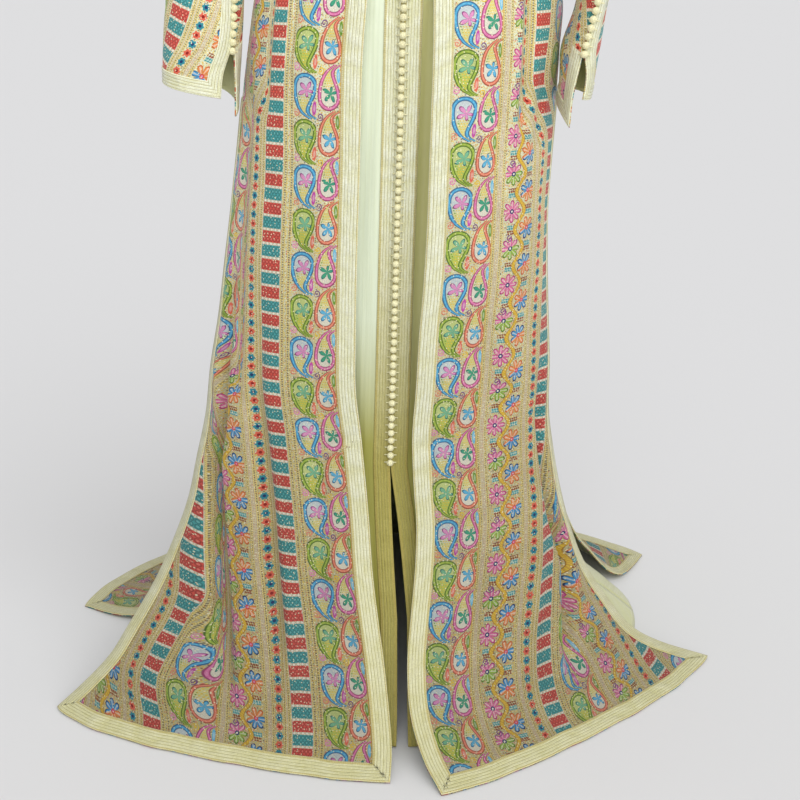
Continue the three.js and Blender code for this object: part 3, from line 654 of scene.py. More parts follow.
def cordFinish(name):
    f = Finish(name, {"Sheen Weight": 0.3, "Specular IOR Level": 0.5})
    place = f.place()
    noise = f.noise(place, 900, 2, "3D")
    cells = f.node("ShaderNodeTexVoronoi", {"feature": "DISTANCE_TO_EDGE"}, {"Vector": place, "Scale": 420})
    strand = f.inside(cells - 0.05, 0.12)
    colour = f.over((0.82, 0.76, 0.48), (0.98, 0.96, 0.76), strand)
    colour = f.over(colour, (0.99, 0.98, 0.84), noise * 0.5)
    return f.finish(colour, noise * 0.2 + 0.4, strand * 0.8 + noise * 0.2, 0.5)


# The garment on a general figure. A yoke has rows from the shoulder seam down to the underarm, and a panel's
# table has sections from there to its hem.
garment = {
    "underarm": 1238,
    "neckHalf": 76,
    "neckTop": 1425,
    "neckDrop": 12,
    "shoulderTip": (196, 1380),
    "fullness": 2.4,
    "robeSlit": 840,
    "dressSlit": 349,
}
yokeNames = "share edge armhole"
frontNames = "height sideHeight frontX frontY sideX sideY round"
backNames = "height leftX leftY rightX rightY backY round"
# A fold starts at a distance from the first edge. Going down, it grows from top to full and fades to its
# end.
foldNames = "top full fade end start depth halfWidth"
# A tuck hides some of the cloth, and so bands meet that lie apart. It starts at one place at its top and at
# another at its end.
tuckNames = "top full fade end startTop startEnd halfWidth hidden depth"
# A crease runs from one place to another, each as a distance from the first edge and a height.
creaseNames = "from1 height1 from2 height2 depth halfWidth"

turns = np.linspace(0, 1, 97)


def shoulderHeight(x):
    tipX, tipHeight = garment["shoulderTip"]
    along = (abs(x) - garment["neckHalf"]) / (tipX - garment["neckHalf"])
    return mix(garment["neckTop"], tipHeight, np.maximum(0, along))


def yokePoint(yoke, x, share, ahead):
    underarm, fullness = garment["underarm"], garment["fullness"]
    neck = 0 if ahead else garment["neckDrop"] * np.maximum(0, 1 - (x / garment["neckHalf"]) ** 2)
    seam = shoulderHeight(x) - yoke["inset"]
    height = mix(seam - neck, underarm, share)
    down = (seam - height) / (seam - underarm)
    out = np.minimum(1, abs(x) / yoke["half"])
    crown = np.maximum(0, 1 - out**fullness) ** (1 / fullness)
    deep = (-yoke["front"] if ahead else yoke["back"]) * crown * np.sqrt(np.maximum(0, 1 - (1 - down) ** 2))
    return np.stack([x, deep, height], -1)


def yokeHeight(share):
    return mix(garment["neckTop"], garment["underarm"], share)


def frontForm(yoke, table, side):
    rows, heights = [], []
    for row in yoke["rows"]:
        x = side * mix(row["edge"], row["armhole"], np.sin(quarter * turns))
        rows.append(yokePoint(yoke, x, row["share"], True))
        heights.append(yokeHeight(row["share"]))
    for row in table:
        out = np.sin(quarter * turns) ** row["round"]
        ahead = np.maximum(0, np.cos(quarter * turns)) ** row["round"]
        x = side * mix(row["frontX"], row["sideX"], out)
        y = -mix(row["sideY"], row["frontY"], ahead)
        rows.append(np.stack([x, y, mix(row["height"], row["sideHeight"], turns)], -1))
        heights.append(row["height"])
    return np.array(rows), np.array(heights)


def backForm(yoke, table):
    rows, heights = [], []
    angle = quarter * (2 * turns - 1)
    for row in yoke["rows"]:
        rows.append(yokePoint(yoke, row["armhole"] * np.sin(angle), row["share"], False))
        heights.append(yokeHeight(row["share"]))
    for row in table:
        out = np.sign(angle) * abs(np.sin(angle)) ** row["round"]
        behind = np.maximum(0, np.cos(angle)) ** row["round"]
        x = out * np.where(out < 0, row["leftX"], row["rightX"])
        y = mix(mix(row["leftY"], row["rightY"], turns), row["backY"], behind)
        rows.append(np.stack([x, y, np.full_like(x, row["height"])], -1))
        heights.append(row["height"])
    return np.array(rows), np.array(heights)


# Rows about a step apart on a smooth curve through the sections.
def denser(rows, step, numbers):
    padded = np.concatenate([2 * rows[:1] - rows[1:2], rows, 2 * rows[-1:] - rows[-2:-1]])
    made, places = [], []
    for i in range(len(rows) - 1):
        a, b, c, d = padded[i : i + 4]
        count = max(2, round(np.linalg.norm(c - b, axis=-1).max() / step))
        for t in np.arange(count) / count:
            squared, cubed = 2 * a - 5 * b + 4 * c - d, 3 * b - a - 3 * c + d
            made.append((2 * b + (c - a) * t + squared * t**2 + cubed * t**3) / 2)
            places.append(i + t)
    made.append(rows[-1])
    places.append(len(rows) - 1)
    return np.array(made), np.interp(places, range(len(rows)), numbers)


def lengthsAlong(points, axis):
    steps = np.linalg.norm(np.diff(points, axis=axis), axis=-1)
    pad = [(0, 0), (0, 0)]
    pad[axis] = (1, 0)
    return np.cumsum(np.pad(steps, pad), axis=axis)


def unit(vectors):
    return vectors / np.maximum(1e-9, np.linalg.norm(vectors, axis=-1, keepdims=True))


def outwardOf(points, outward):
    across = np.gradient(points, axis=1)
    down = np.gradient(points, axis=0)
    return unit(np.cross(across, down)) * outward


# One rounded swell, from 1 in its middle to nought at a distance of 1.
def swell(away):
    return 0.5 + 0.5 * np.cos(math.pi * np.clip(away, -1, 1))


# How much of a fold or tuck there is at each height.
def grown(fold, height):
    grow = smooth((fold["top"] - height) / (fold["top"] - fold["full"]))
    return np.minimum(grow, smooth((height - fold["end"]) / (fold["fade"] - fold["end"])))


# Folds keep their order and their share of the room between the braided edges, even where a panel is narrow.
spacing = {"widest": 0.25, "before": 0.75, "after": 0.6, "lips": 1.5, "reach": 1.25}


def foldDepth(plan, place, height, length):
    depth = np.zeros(place.shape)
    count = len(plan["folds"])
    for i, fold in enumerate(plan["folds"]):
        room = (length - 2 * plan["edge"]) / count
        lip = np.minimum(fold["halfWidth"], room * spacing["widest"])
        lowest = plan["edge"] + i * room * spacing["before"] + lip * spacing["lips"]
        behind = (count - 1 - i) * room * spacing["after"] + lip * spacing["lips"]
        highest = length - plan["edge"] - behind
        middle = np.minimum(highest, np.maximum(lowest, fold["start"]))
        depth += fold["depth"] * grown(fold, height) * swell((place - middle) / (lip * spacing["reach"]))
    return depth


def tuckDepth(plan, place, height):
    depth, hidden = np.zeros(place.shape), np.zeros(place.shape)
    for tuck in plan.get("tucks", []):
        middle = np.interp(-height, [-tuck["top"], -tuck["end"]], [tuck["startTop"], tuck["startEnd"]])
        across = (place - middle) / tuck["halfWidth"]
        amount = grown(tuck, height)
        hidden += tuck["hidden"] * amount * smooth((across + 1) / 2)
        depth += tuck["depth"] * amount * np.maximum(0, 1 - abs(across)) ** 1.5
    return depth, hidden


def creaseDepth(plan, place, height):
    depth = np.zeros(place.shape)
    for crease in plan["creases"]:
        start = np.array([crease["from1"], crease["height1"]])
        run = np.array([crease["from2"], crease["height2"]]) - start
        offX, offY = place - start[0], height - start[1]
        t = np.clip((offX * run[0] + offY * run[1]) / (run @ run), 0, 1)
        away = np.hypot(offX - t * run[0], offY - t * run[1]) / crease["halfWidth"]
        taper = np.sin(math.pi * np.clip(t, 0.02, 0.98)) ** 0.7
        depth += crease["depth"] * taper * swell(away)
    return depth


# Slow waves and small ones that cross, quiet near the cloth's edges. The divisors are their sizes.
def unevenness(place, height, length, quietEdge=40):
    wander = np.sin(place / 41 + height / 137) * np.sin(place / 23 - height / 71 + 1.7)
    small = np.sin(place / 11.3 + height / 29 + 2 * np.sin(height / 83)) * np.sin(height / 17 - place / 31)
    return smooth(place / quietEdge) * smooth((length - place) / quietEdge) * (wander + 0.3 * small)


def leaned(points, heights, plan):
    high = heights[:, None]
    spread = mix(plan["spread"], 1, np.clip(high / plan["slit"][0], 0, 1))
    x = np.where(points[..., 0] > 0, points[..., 0] * spread, points[..., 0])
    places = [0, plan["shin"][0], plan["slit"][0], plan["hip"][0]]
    shifts = [plan["shin"][1], plan["shin"][1], plan["slit"][1], plan["hip"][1]]
    return np.concatenate([(x + np.interp(high, places, shifts))[..., None], points[..., 1:]], -1)


# Cloth over a form: its folds, tucks and creases and a slight unevenness, each pushed inward.
def drape(form, plan):
    rows, heights = denser(form[0], plan["step"], form[1])
    if "clear" in plan:
        rows[..., 0] = plan["side"] * np.maximum(plan["clear"], plan["side"] * rows[..., 0])
    along = lengthsAlong(rows, 1)
    length = along[:, -1:]
    place = np.linspace(0, 1, plan["columns"]) * length
    base = [[np.interp(place[r], along[r], row[:, k]) for k in range(3)] for r, row in enumerate(rows)]
    base = np.array(base).transpose(0, 2, 1)
    ahead = np.gradient(base, axis=1)
    inward = unit(np.stack([ahead[..., 1], -ahead[..., 0], 0 * ahead[..., 0]], -1)) * plan["outward"]
    height = heights[:, None]
    tucked, hidden = tuckDepth(plan, place, height)
    depth = foldDepth(plan, place, height, length) + tucked + creaseDepth(plan, place, height)
    depth += plan["uneven"] * unevenness(place, height, length)
    points = base + inward * depth[..., None]
    if "lean" in plan:
        points = leaned(points, heights, plan["lean"])
    down = lengthsAlong(base, 0)
    datum = int(abs(heights - plan["datum"]).argmin())
    return {
        "points": points,
        "normals": outwardOf(points, plan["outward"]),
        "heights": heights,
        "across": place + hidden,
        "place": place,
        "down": down,
        "up": down[datum] - down,
        "outward": plan["outward"],
    }


# How a panel's own name and its solid's name end.
def panelNames(name):
    return ("Back", "back") if name == "back" else ("Front" + name.title(), "front_" + name)


def drapePanels(plan, yoke, backTable):
    cloths = {}
    for name in ("left", "right"):
        panel = plan[name]
        form = frontForm(yoke, panel["table"], panel["side"])
        cloths[name] = drape(form, {**plan, **panel, "outward": -panel["side"]})
    cloths["back"] = drape(backForm(yoke, backTable), {**plan, **plan["back"], "outward": 1})
    return cloths


# A piece belongs to the one body and stands for a solid, which is hidden.
def settle(piece, node):
    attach(piece, "root")
    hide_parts(node)


def hang(cloth):
    size = (cloth["across"][:, -1].max() / 1000, cloth["down"][-1].max() / 1000)
    widths = (cloth["across"][1:, -1] + cloth["across"][:-1, -1]) / 2
    area = float((widths * np.diff(cloth["down"].mean(axis=1))).sum()) / 1e6


# A grid moved onto its points, with the cloth's own measure in its UV map.
def clothPiece(name, points, measure, outward, finishes, wall, towards=None):
    rows, columns = points.shape[:2]
    form = bmesh.new()
    bmesh.ops.create_grid(form, x_segments=columns - 1, y_segments=rows - 1, size=1)
    places = np.array([vert.co[:2] for vert in form.verts])
    if outward > 0:
        bmesh.ops.reverse_faces(form, faces=form.faces)
    mesh = meshOf(name, form)
    column = np.rint((places[:, 0] + 1) / 2 * (columns - 1)).astype(int)
    row = np.rint((1 - places[:, 1]) / 2 * (rows - 1)).astype(int)
    moved = points[row, column] - (0, 0, neckHeight)
    mesh.vertices.foreach_set("co", (moved / 1000).ravel())
    corners = np.empty(len(mesh.loops), int)
    mesh.loops.foreach_get("vertex_index", corners)
    layer = mesh.uv_layers.new(name="cloth")
    layer.data.foreach_set("uv", measure[row, column][corners].ravel())
    mesh.polygons.foreach_set("use_smooth", [True] * len(mesh.polygons))
    mesh.update()
    if towards is not None:
        weld(mesh, towards)
    piece = placed(name, mesh, finishes)
    shell = piece.modifiers.new("wall", "SOLIDIFY")
    shell.thickness = wall / 1000
    shell.offset = -1
    shell.material_offset = len(finishes) - 1
    return piece


# Corner points that share one place become one, and the faces still look the way the cloth does.
def weld(mesh, towards):
    form = bmesh.new()
    form.from_mesh(mesh)
    bmesh.ops.remove_doubles(form, verts=form.verts, dist=0.00005)
    bmesh.ops.recalc_face_normals(form, faces=form.faces)
    facing = sum(face.calc_area() * face.normal.dot(towards) for face in form.faces)
    if facing < 0:
        bmesh.ops.reverse_faces(form, faces=form.faces)
    form.to_mesh(mesh)
    form.free()


# The row and column of draped cloth at a distance from its first edge, and above its hem. slide is how far a
# place has gone over from keeping to the first edge to keeping to the last.
def placeOn(cloth, across, slide, above):
    down = cloth["down"]
    rows, columns = down.shape
    length = cloth["place"][:, -1]
    row = np.full(across.shape, rows - 1.0)
    for _ in range(3):
        wide = np.interp(row, np.arange(rows), length)
        column = (across + slide * (wide - length[-1])) / wide * (columns - 1)
        column = np.clip(column, 0, columns - 1)
        near = np.rint(column).astype(int)
        places = zip(above.ravel(), near.ravel())
        found = [np.interp(down[-1, c] - a, down[:, c], np.arange(rows)) for a, c in places]
        row = np.array(found).reshape(across.shape)
    return row, column


def sampled(grid, row, column):
    r = np.clip(np.floor(row).astype(int), 0, grid.shape[0] - 2)
    c = np.clip(np.floor(column).astype(int), 0, grid.shape[1] - 2)
    u, v = (row - r)[..., None], (column - c)[..., None]
    top = mix(grid[r, c], grid[r, c + 1], v)
    low = mix(grid[r + 1, c], grid[r + 1, c + 1], v)
    return mix(top, low, u)


# A ribbed braid sewn onto cloth at a grid of places: its stations by its columns.
def braidOn(name, cloth, plan, finish, across, slide, above):
    k = np.linspace(0, 1, plan["columns"])
    row, column = placeOn(cloth, across, slide, above)
    # each rib's height is a share of the braid's rise, and both edges lie lower
    rib = 0.6 + 0.4 * np.cos(2 * math.pi * plan["ribs"] * k + math.pi)
    rib = np.where((k == 0) | (k == 1), edgeRib, rib)
    normals = sampled(cloth["normals"], row, column)
    lift = (seamGap + plan["rise"] * rib)[None, :, None]
    points = sampled(cloth["points"], row, column) + normals * lift
    run = lengthsAlong(points, 0).mean(axis=1, keepdims=True)
    measure = np.stack(np.broadcast_arrays(plan["width"] * k[None, :], run), -1)
    towards = normals.mean(axis=(0, 1))
    return clothPiece(name, points, measure, cloth["outward"], [finish], plan["wall"], towards)


# Down a cloth's first edge, along its hem and up its last edge, with mitred corners.
def edgeBraid(name, cloth, plan, tops, finish):
    width, step = plan["width"], plan["step"]
    firstTop, lastTop = tops
    k = np.linspace(0, 1, plan["columns"])
    wide = cloth["place"][-1, -1]
    stations = []
    for at in np.linspace(firstTop, 0, round(firstTop / step)):
        stations.append((width * k, 0 * k, np.maximum(at, width * k)))
    for at in np.linspace(0, wide, round(wide / step)):
        inner = np.clip(at, width * k, wide - width * k)
        stations.append((inner, inner / wide, width * k))
    for at in np.linspace(0, lastTop, round(lastTop / step)):
        stations.append((wide - width * k, 0 * k + 1, np.maximum(at, width * k)))
    across, slide, above = np.array(stations).transpose(1, 0, 2)
    return braidOn(name, cloth, plan, finish, across, slide, above)


# A straight braid beside a cloth's first edge.
def strip(name, cloth, plan, top, finish):
    k = np.linspace(0, 1, plan["columns"])
    stations = np.linspace(top, 0, round(top / plan["step"]))
    across = np.broadcast_to(plan["width"] * k, (len(stations), len(k)))
    above = np.broadcast_to(stations[:, None], across.shape)
    return braidOn(name, cloth, plan, finish, across, 0 * across, above)


def edgeDistance(height, cloth, column):
    along = cloth["down"][:, column]
    return along[-1] - np.interp(-height, -cloth["heights"], along)


def rowAt(cloth, height):
    place = np.interp(-height, -cloth["heights"], np.arange(len(cloth["heights"])))
    low = int(place)
    return mix(cloth["points"][low], cloth["points"][low + 1], place - low)


# The robe: two open fronts and a back that trails, lined in satin.
robeYoke = {
    "inset": 0,
    "front": 133,
    "back": 114,
    "half": 206,
    "rows": rowsOf(
        yokeNames,
        (0, 76, 196),
        (0.14, 73, 187),
        (0.42, 65, 180),
        (0.72, 56, 187),
        (0.88, 52, 197),
        (1, 50, 206),
    ),
}
robeLeft = rowsOf(
    frontNames,
    (1170, 1170, 46, 136, 204, 0, 1),
    (1110, 1110, 43, 126, 190, 0, 1),
    (1078, 1078, 41, 121, 183, 0, 1),
    (1050, 1050, 40, 118, 180, 0, 1),
    (1022, 1022, 40, 120, 184, 0, 1),
    (977, 977, 41, 130, 196, 0, 1),
    (910, 910, 47, 133, 208, 0, 1),
    (840, 840, 50, 135, 219, 0, 1),
    (770, 770, 52, 137, 228, 5, 1),
    (700, 700, 55, 139, 238, 10, 1),
    (620, 620, 58, 142, 250, 22, 1),
    (545, 545, 60, 146, 261, 32, 1),
    (470, 470, 61, 151, 275, 44, 1),
    (400, 400, 54, 157, 284, 56, 1.02),
    (335, 335, 48, 168, 299, 69, 1.05),
    (275, 275, 43, 182, 313, 82, 1.1),
    (215, 215, 39, 201, 336, 95, 1.15),
    (155, 155, 31, 228, 365, 118, 1.2),
    (100, 100, 22, 262, 401, 151, 1.25),
    (55, 62, 15, 308, 427, 174, 1.3),
    (24, 30, 11, 352, 462, 197, 1.35),
    (2.3, 2.3, 13, 393, 499, 220, 1.4),
)
robeRight = rowsOf(
    frontNames,
    (1170, 1170, 46, 136, 204, 0, 1),
    (1110, 1110, 43, 126, 194, 0, 1),
    (1078, 1078, 41, 121, 189, 0, 1),
    (1050, 1050, 40, 118, 190, 0, 1),
    (1022, 1022, 40, 120, 202, 0, 1),
    (977, 977, 42, 130, 219, 0, 1),
    (910, 910, 42, 133, 218, 0, 1),
    (840, 840, 40, 135, 216, 0, 1),
    (770, 770, 38, 137, 212, 2, 1),
    (700, 700, 36, 139, 209, 5, 1),
    (620, 620, 32, 142, 211, 11, 1),
    (545, 545, 26, 146, 215, 16, 1),
    (470, 470, 22, 151, 219, 23, 1),
    (400, 400, 17, 157, 220, 30, 1.02),
    (335, 335, 19, 168, 229, 37, 1.05),
    (275, 275, 23, 182, 241, 45, 1.1),
    (215, 215, 21, 201, 258, 51, 1.15),
    (155, 155, 15, 228, 282, 57, 1.25),
    (100, 100, 10, 264, 317, 62, 1.35),
    (55, 50, 14, 316, 358, 70, 1.45),
    (24, 24, 30, 370, 405, 76, 1.55),
    (2.3, 2.3, 54, 418, 481, 84, 1.65),
)
robeBack = rowsOf(
    backNames,
    (1170, 204, 0, 204, 0, 114, 1),
    (1110, 190, 0, 194, 0, 106, 1),
    (1078, 183, 0, 189, 0, 102, 1),
    (1050, 180, 0, 190, 0, 100, 1),
    (1022, 184, 0, 202, 0, 104, 1),
    (977, 196, 0, 219, 0, 122, 1),
    (910, 208, 0, 218, 0, 134, 1),
    (840, 219, 0, 216, 0, 142, 1),
    (700, 232, 10, 209, 14, 156, 1),
    (545, 247, 24, 215, 32, 176, 1),
    (400, 268, 38, 226, 62, 204, 1),
    (275, 296, 50, 246, 100, 244, 1),
    (180, 330, 50, 268, 134, 292, 1),
    (100, 372, 38, 300, 152, 350, 1.05),
    (60, 392, 26, 330, 158, 386, 1.1),
    (24, 415, 20, 362, 160, 426, 1.15),
    (10, 440, 27, 388, 168, 452, 1.2),
    (5, 480, 42, 415, 205, 468, 1.28),
    (2.3, 531, 72, 443, 257, 482, 1.35),
)
robePlan = {
    "left": {
        "side": -1,
        "table": robeLeft,
        "columns": 84,
        "folds": rowsOf(foldNames, (640, 330, 150, 20, 148, 15, 17), (760, 330, 130, 16, 234, 27, 16)),
        "creases": rowsOf(
            creaseNames,
            (6, 985, 70, 930, 2.2, 9),
            (0, 408, 62, 380, 5, 8),
            (0, 396, 50, 372, -2.5, 7),
            (40, 760, 70, 430, -3, 26),
            (96, 900, 84, 520, 3, 18),
            (60, 420, 90, 60, 5, 24),
            (200, 300, 235, 60, 6, 24),
            (120, 220, 150, 24, -6, 22),
            (20, 250, 30, 20, -4, 22),
            (150, 1160, 120, 1075, 4, 14),
            (90, 1010, 105, 880, 3.5, 12),
            (180, 860, 190, 640, 4, 20),
        ),
        "tucks": rowsOf(
            tuckNames,
            (1040, 980, 900, 820, 134, 134, 6, 38, 2),
            (900, 800, 520, 430, 171, 171, 7, 71, 2),
            (500, 420, 170, 30, 236, 242, 8, 77, 2),
            (430, 380, 60, 0, 264, 268, 24, -22, 0),
        ),
        "pattern": (92, -1, 48),
    },
    "right": {
        "side": 1,
        "table": robeRight,
        "columns": 84,
        "folds": rowsOf(foldNames, (1012, 960, 880, 760, 132, 11, 10), (560, 250, 110, 14, 272, 26, 16)),
        "creases": rowsOf(
            creaseNames,
            (2, 372, 84, 436, 5, 8),
            (10, 362, 70, 420, -2.5, 7),
            (8, 1000, 8, 430, -8, 30),
            (70, 700, 60, 400, -3, 26),
            (110, 600, 120, 300, 4, 22),
            (40, 330, 60, 40, -4, 24),
            (100, 240, 130, 30, 6, 24),
            (190, 330, 200, 60, -5, 26),
            (150, 1160, 125, 1080, 4, 14),
            (170, 940, 160, 720, 4, 18),
            (60, 1010, 66, 900, 3, 14),
            (250, 200, 300, 30, 5, 22),
        ),
        "tucks": rowsOf(
            tuckNames,
            (1100, 1040, 880, 780, 128, 132, 7, 58, 0),
            (400, 300, 150, 30, 257, 257, 8, 77, 2),
        ),
        "pattern": (-26, 1, -40),
    },
    "back": {
        "columns": 120,
        "folds": rowsOf(
            foldNames,
            (900, 420, 120, 3, 130, 18, 30),
            (960, 420, 120, 3, 290, 20, 34),
            (900, 420, 120, 3, 450, 18, 30),
        ),
        "creases": rowsOf(
            creaseNames,
            (210, 1010, 240, 700, 5, 22),
            (330, 1005, 360, 640, 6, 24),
            (90, 980, 70, 620, 4, 20),
            (480, 960, 520, 560, 5, 22),
            (240, 420, 200, 60, 8, 34),
            (420, 400, 470, 50, 8, 34),
            (600, 200, 660, 20, 6, 30),
            (60, 260, 40, 30, 6, 26),
            (250, 1250, 200, 1120, 4, 18),
            (330, 1240, 380, 1110, 4, 18),
        ),
        "pattern": (-26, 1, 0),
    },
    "edge": 26,
    "step": 7,
    "uneven": 1.5,
    "wall": 1.6,
    "braid": {"width": 26, "columns": 13, "step": 8, "ribs": 6, "rise": 1.5, "wall": 0.9},
    "datum": 1050,
}


def makeRobe(plan, finishes):
    cloths = drapePanels(plan, robeYoke, robeBack)
    for name, cloth in cloths.items():
        title, ending = panelNames(name)
        start, turn, phase = plan[name]["pattern"]
        measure = np.stack([start + turn * cloth["across"], phase + cloth["up"]], -1)
        walls = [finishes["print"], finishes["lining"]]
        piece = clothPiece("robe" + title, cloth["points"], measure, cloth["outward"], walls, plan["wall"])
        settle(piece, "robe_" + ending)
        tops = [edgeDistance(garment["robeSlit"], cloth, column) for column in (0, -1)]
        if name != "back":
            tops[0] = cloth["down"][-1, 0]
        braid = edgeBraid("robe" + title + "Braid", cloth, plan["braid"], tops, finishes["braid"])
        settle(braid, "braid_" + ending)
        hang(cloth)
    return cloths


# The under-dress: plain satin, buttoned in front between two braids, open below.
dressYoke = {
    "inset": 9,
    "front": 121,
    "back": 102,
    "half": 197,
    "rows": rowsOf(
        yokeNames,
        (0, 84, 186),
        (0.14, 78, 178),
        (0.27, 60, 173),
        (0.38, 34, 171),
        (0.46, 0.4, 171),
        (0.72, 0.4, 176),
        (0.88, 0.4, 187),
        (1, 0.4, 197),
    ),
}
dressFront = rowsOf(
    frontNames,
    (1170, 1170, 0.4, 125, 193, 0, 0.85),
    (1110, 1110, 0.4, 112, 179, 0, 0.85),
    (1050, 1050, 0.4, 104, 169, 0, 0.9),
    (1022, 1022, 0.4, 106, 174, 0, 0.9),
    (977, 977, 0.4, 115, 185, 0, 0.9),
    (840, 840, 0.4, 117, 198, 0, 0.9),
    (700, 700, 0.4, 119, 190, 0, 0.95),
    (545, 545, 0.4, 123, 190, 0, 1),
    (425, 425, 0.4, 131, 196, 0, 1),
    (349, 349, 0.4, 138, 204, 0, 1),
    (275, 275, 4, 152, 215, 0, 1.02),
    (205, 205, 6, 176, 234, 0, 1.05),
    (140, 140, 7, 205, 262, -10, 1.05),
    (85, 85, 7, 240, 296, -25, 1.1),
    (40, 40, 7, 280, 338, -45, 1.1),
    (2.3, 2.3, 8, 315, 372, -60, 1.1),
)
dressBack = rowsOf(
    backNames,
    (1170, 193, 0, 193, 0, 102, 0.9),
    (1110, 179, 0, 179, 0, 94, 0.9),
    (1050, 169, 0, 169, 0, 88, 0.9),
    (1022, 174, 0, 174, 0, 92, 0.9),
    (977, 185, 0, 185, 0, 106, 0.9),
    (840, 198, 0, 198, 0, 120, 0.9),
    (700, 190, 0, 190, 0, 126, 0.95),
    (545, 190, 0, 190, 0, 136, 1),
    (425, 196, 0, 196, 0, 148, 1),
    (349, 204, 0, 204, 0, 158, 1),
    (275, 215, 0, 215, 0, 174, 1),
    (205, 234, 0, 234, 0, 198, 1),
    (140, 262, 10, 262, 10, 230, 1),
    (85, 296, 25, 296, 25, 270, 1),
    (40, 338, 45, 338, 45, 316, 1),
    (2.3, 372, 60, 372, 60, 350, 1),
)
dressPlan = {
    "left": {
        "side": -1,
        "table": dressFront,
        "clear": 0.4,
        "columns": 56,
        "folds": rowsOf(foldNames, (760, 300, 90, 3, 110, 14, 22)),
        "creases": rowsOf(
            creaseNames,
            (36, 940, 46, 640, 2.5, 12),
            (60, 700, 40, 360, -3, 16),
            (4, 962, 60, 940, 2, 8),
        ),
    },
    "right": {
        "side": 1,
        "table": dressFront,
        "clear": 0.4,
        "columns": 56,
        "folds": rowsOf(foldNames, (760, 300, 90, 3, 90, 12, 20), (300, 120, 60, 3, 215, 16, 22)),
        "creases": rowsOf(creaseNames, (33, 1000, 31, 420, 9, 13), (60, 640, 70, 380, 3, 14)),
    },
    "back": {
        "columns": 72,
        "folds": rowsOf(foldNames, (800, 300, 90, 3, 150, 14, 30), (800, 300, 90, 3, 300, 14, 30)),
        "creases": rowsOf(creaseNames, (220, 980, 240, 600, 4, 22), (60, 900, 50, 500, 4, 22)),
    },
    "edge": 24,
    "step": 10,
    "uneven": 0.8,
    "wall": 1.2,
    "placket": {"width": 24, "columns": 13, "step": 8, "ribs": 5, "rise": 1.3, "wall": 0.9},
    "placketTop": 1339,
    "datum": 1050,
    "lean": {"hip": (977, 5), "slit": (349, -14), "shin": (140, 3), "spread": 1.04},
}


def makeDress(plan, finishes):
    cloths = drapePanels(plan, dressYoke, dressBack)
    for name, cloth in cloths.items():
        title, ending = panelNames(name)
        measure = np.stack([cloth["across"], -cloth["down"]], -1)
        walls = [finishes["satin"]]
        piece = clothPiece("dress" + title, cloth["points"], measure, cloth["outward"], walls, plan["wall"])
        settle(piece, "dress_" + ending)
        if name != "back":
            top = edgeDistance(plan["placketTop"], cloth, 0)
            placket = strip("placket" + name.title(), cloth, plan["placket"], top, finishes["placket"])
            settle(placket, "placket_" + name)
        hang(cloth)
    return cloths


# Each sleeve opens along one line, buttoned shut down to its slit. Where the slit lies and how far it gapes
# are in degrees round the sleeve, and the drops lengthen the two corners of the cuff.
sleeveNames = "x y height across deep lean"
sleevePlan = {
    "left": {
        "side": -1,
        "rings": rowsOf(
            sleeveNames,
            (237, 2, 1284, 26, 66, 56),
            (254, 4, 1236, 40, 62, 30),
            (259, 8, 1168, 45, 57, 10),
            (260, 14, 1100, 48, 53, 0),
            (259, 22, 1035, 50, 49, 0),
            (259, 32, 977, 52, 44, 0),
            (263, 44, 928, 52, 41, 0),
            (266, 52, 899, 50, 39, 0),
            (267, 58, 876, 49, 38, 0),
        ),
        "station": 2,
        "slitAt": 34,
        "slitTop": 930,
        "gap": 34,
        "drops": (24, 49),
        "pattern": (98, 1, 15),
        "creases": rowsOf(creaseNames, (40, 1040, 120, 960, 2.5, 14), (60, 1240, 130, 1180, 4, 16)),
    },
    "right": {
        "side": 1,
        "rings": rowsOf(
            sleeveNames,
            (237, 2, 1284, 26, 66, 56),
            (254, 4, 1236, 40, 62, 30),
            (259, 8, 1168, 42, 59, 10),
            (261, 14, 1100, 37, 58, 0),
            (261, 22, 1035, 29, 57, 0),
            (256, 32, 977, 20, 55, 0),
            (241, 46, 920, 25, 49, 0),
            (237, 55, 886, 23, 46, 0),
            (233, 60, 858, 21, 45, 0),
        ),
        "station": 5,
        "slitAt": 84,
        "slitTop": 922,
        "gap": 44,
        "drops": (6, 42),
        "pattern": (150, 1, 20),
        "creases": rowsOf(creaseNames, (40, 1060, 110, 1010, 2.5, 14), (60, 1230, 120, 1180, 4, 16)),
    },
    "edge": 20,
    "columns": 61,
    "stations": 60,
    "firstRow": 1330,
    "armholeGap": 0.6,
    "ease": 60,
    "start": 12,
    "shut": 0.4,
    "cornerRows": 3,
    "step": 7,
    "uneven": 0.8,
    "wall": 1.6,
    "folds": [],
    "datum": 900,
    "braidTop": 1100,
    "braid": {"width": 20, "columns": 11, "step": 6, "ribs": 5, "rise": 1.4, "wall": 0.9},
    "buttons": (1110, 8),
}


# The armhole that the robe's panels leave, from the underarm up the front and down the back.
def armholeRing(plan, side):
    front = frontForm(robeYoke, robeLeft if side < 0 else robeRight, side)[0]
    back = backForm(robeYoke, robeBack)[0]
    last = len(robeYoke["rows"]) - 1
    corners = [front[r, -1] for r in range(last, -1, -1)]
    corners += [back[r, 0 if side < 0 else -1] for r in range(1, last)]
    ring = np.array([*corners, corners[0]]) + (side * plan["armholeGap"], 0, 0)
    count = len(corners)
    shift = plan["left" if side < 0 else "right"]["station"] / 2
    places = (shift + np.linspace(0, count, plan["stations"] + 1)) % count
    return np.stack([np.interp(places, range(count + 1), ring[:, k]) for k in range(3)], -1)


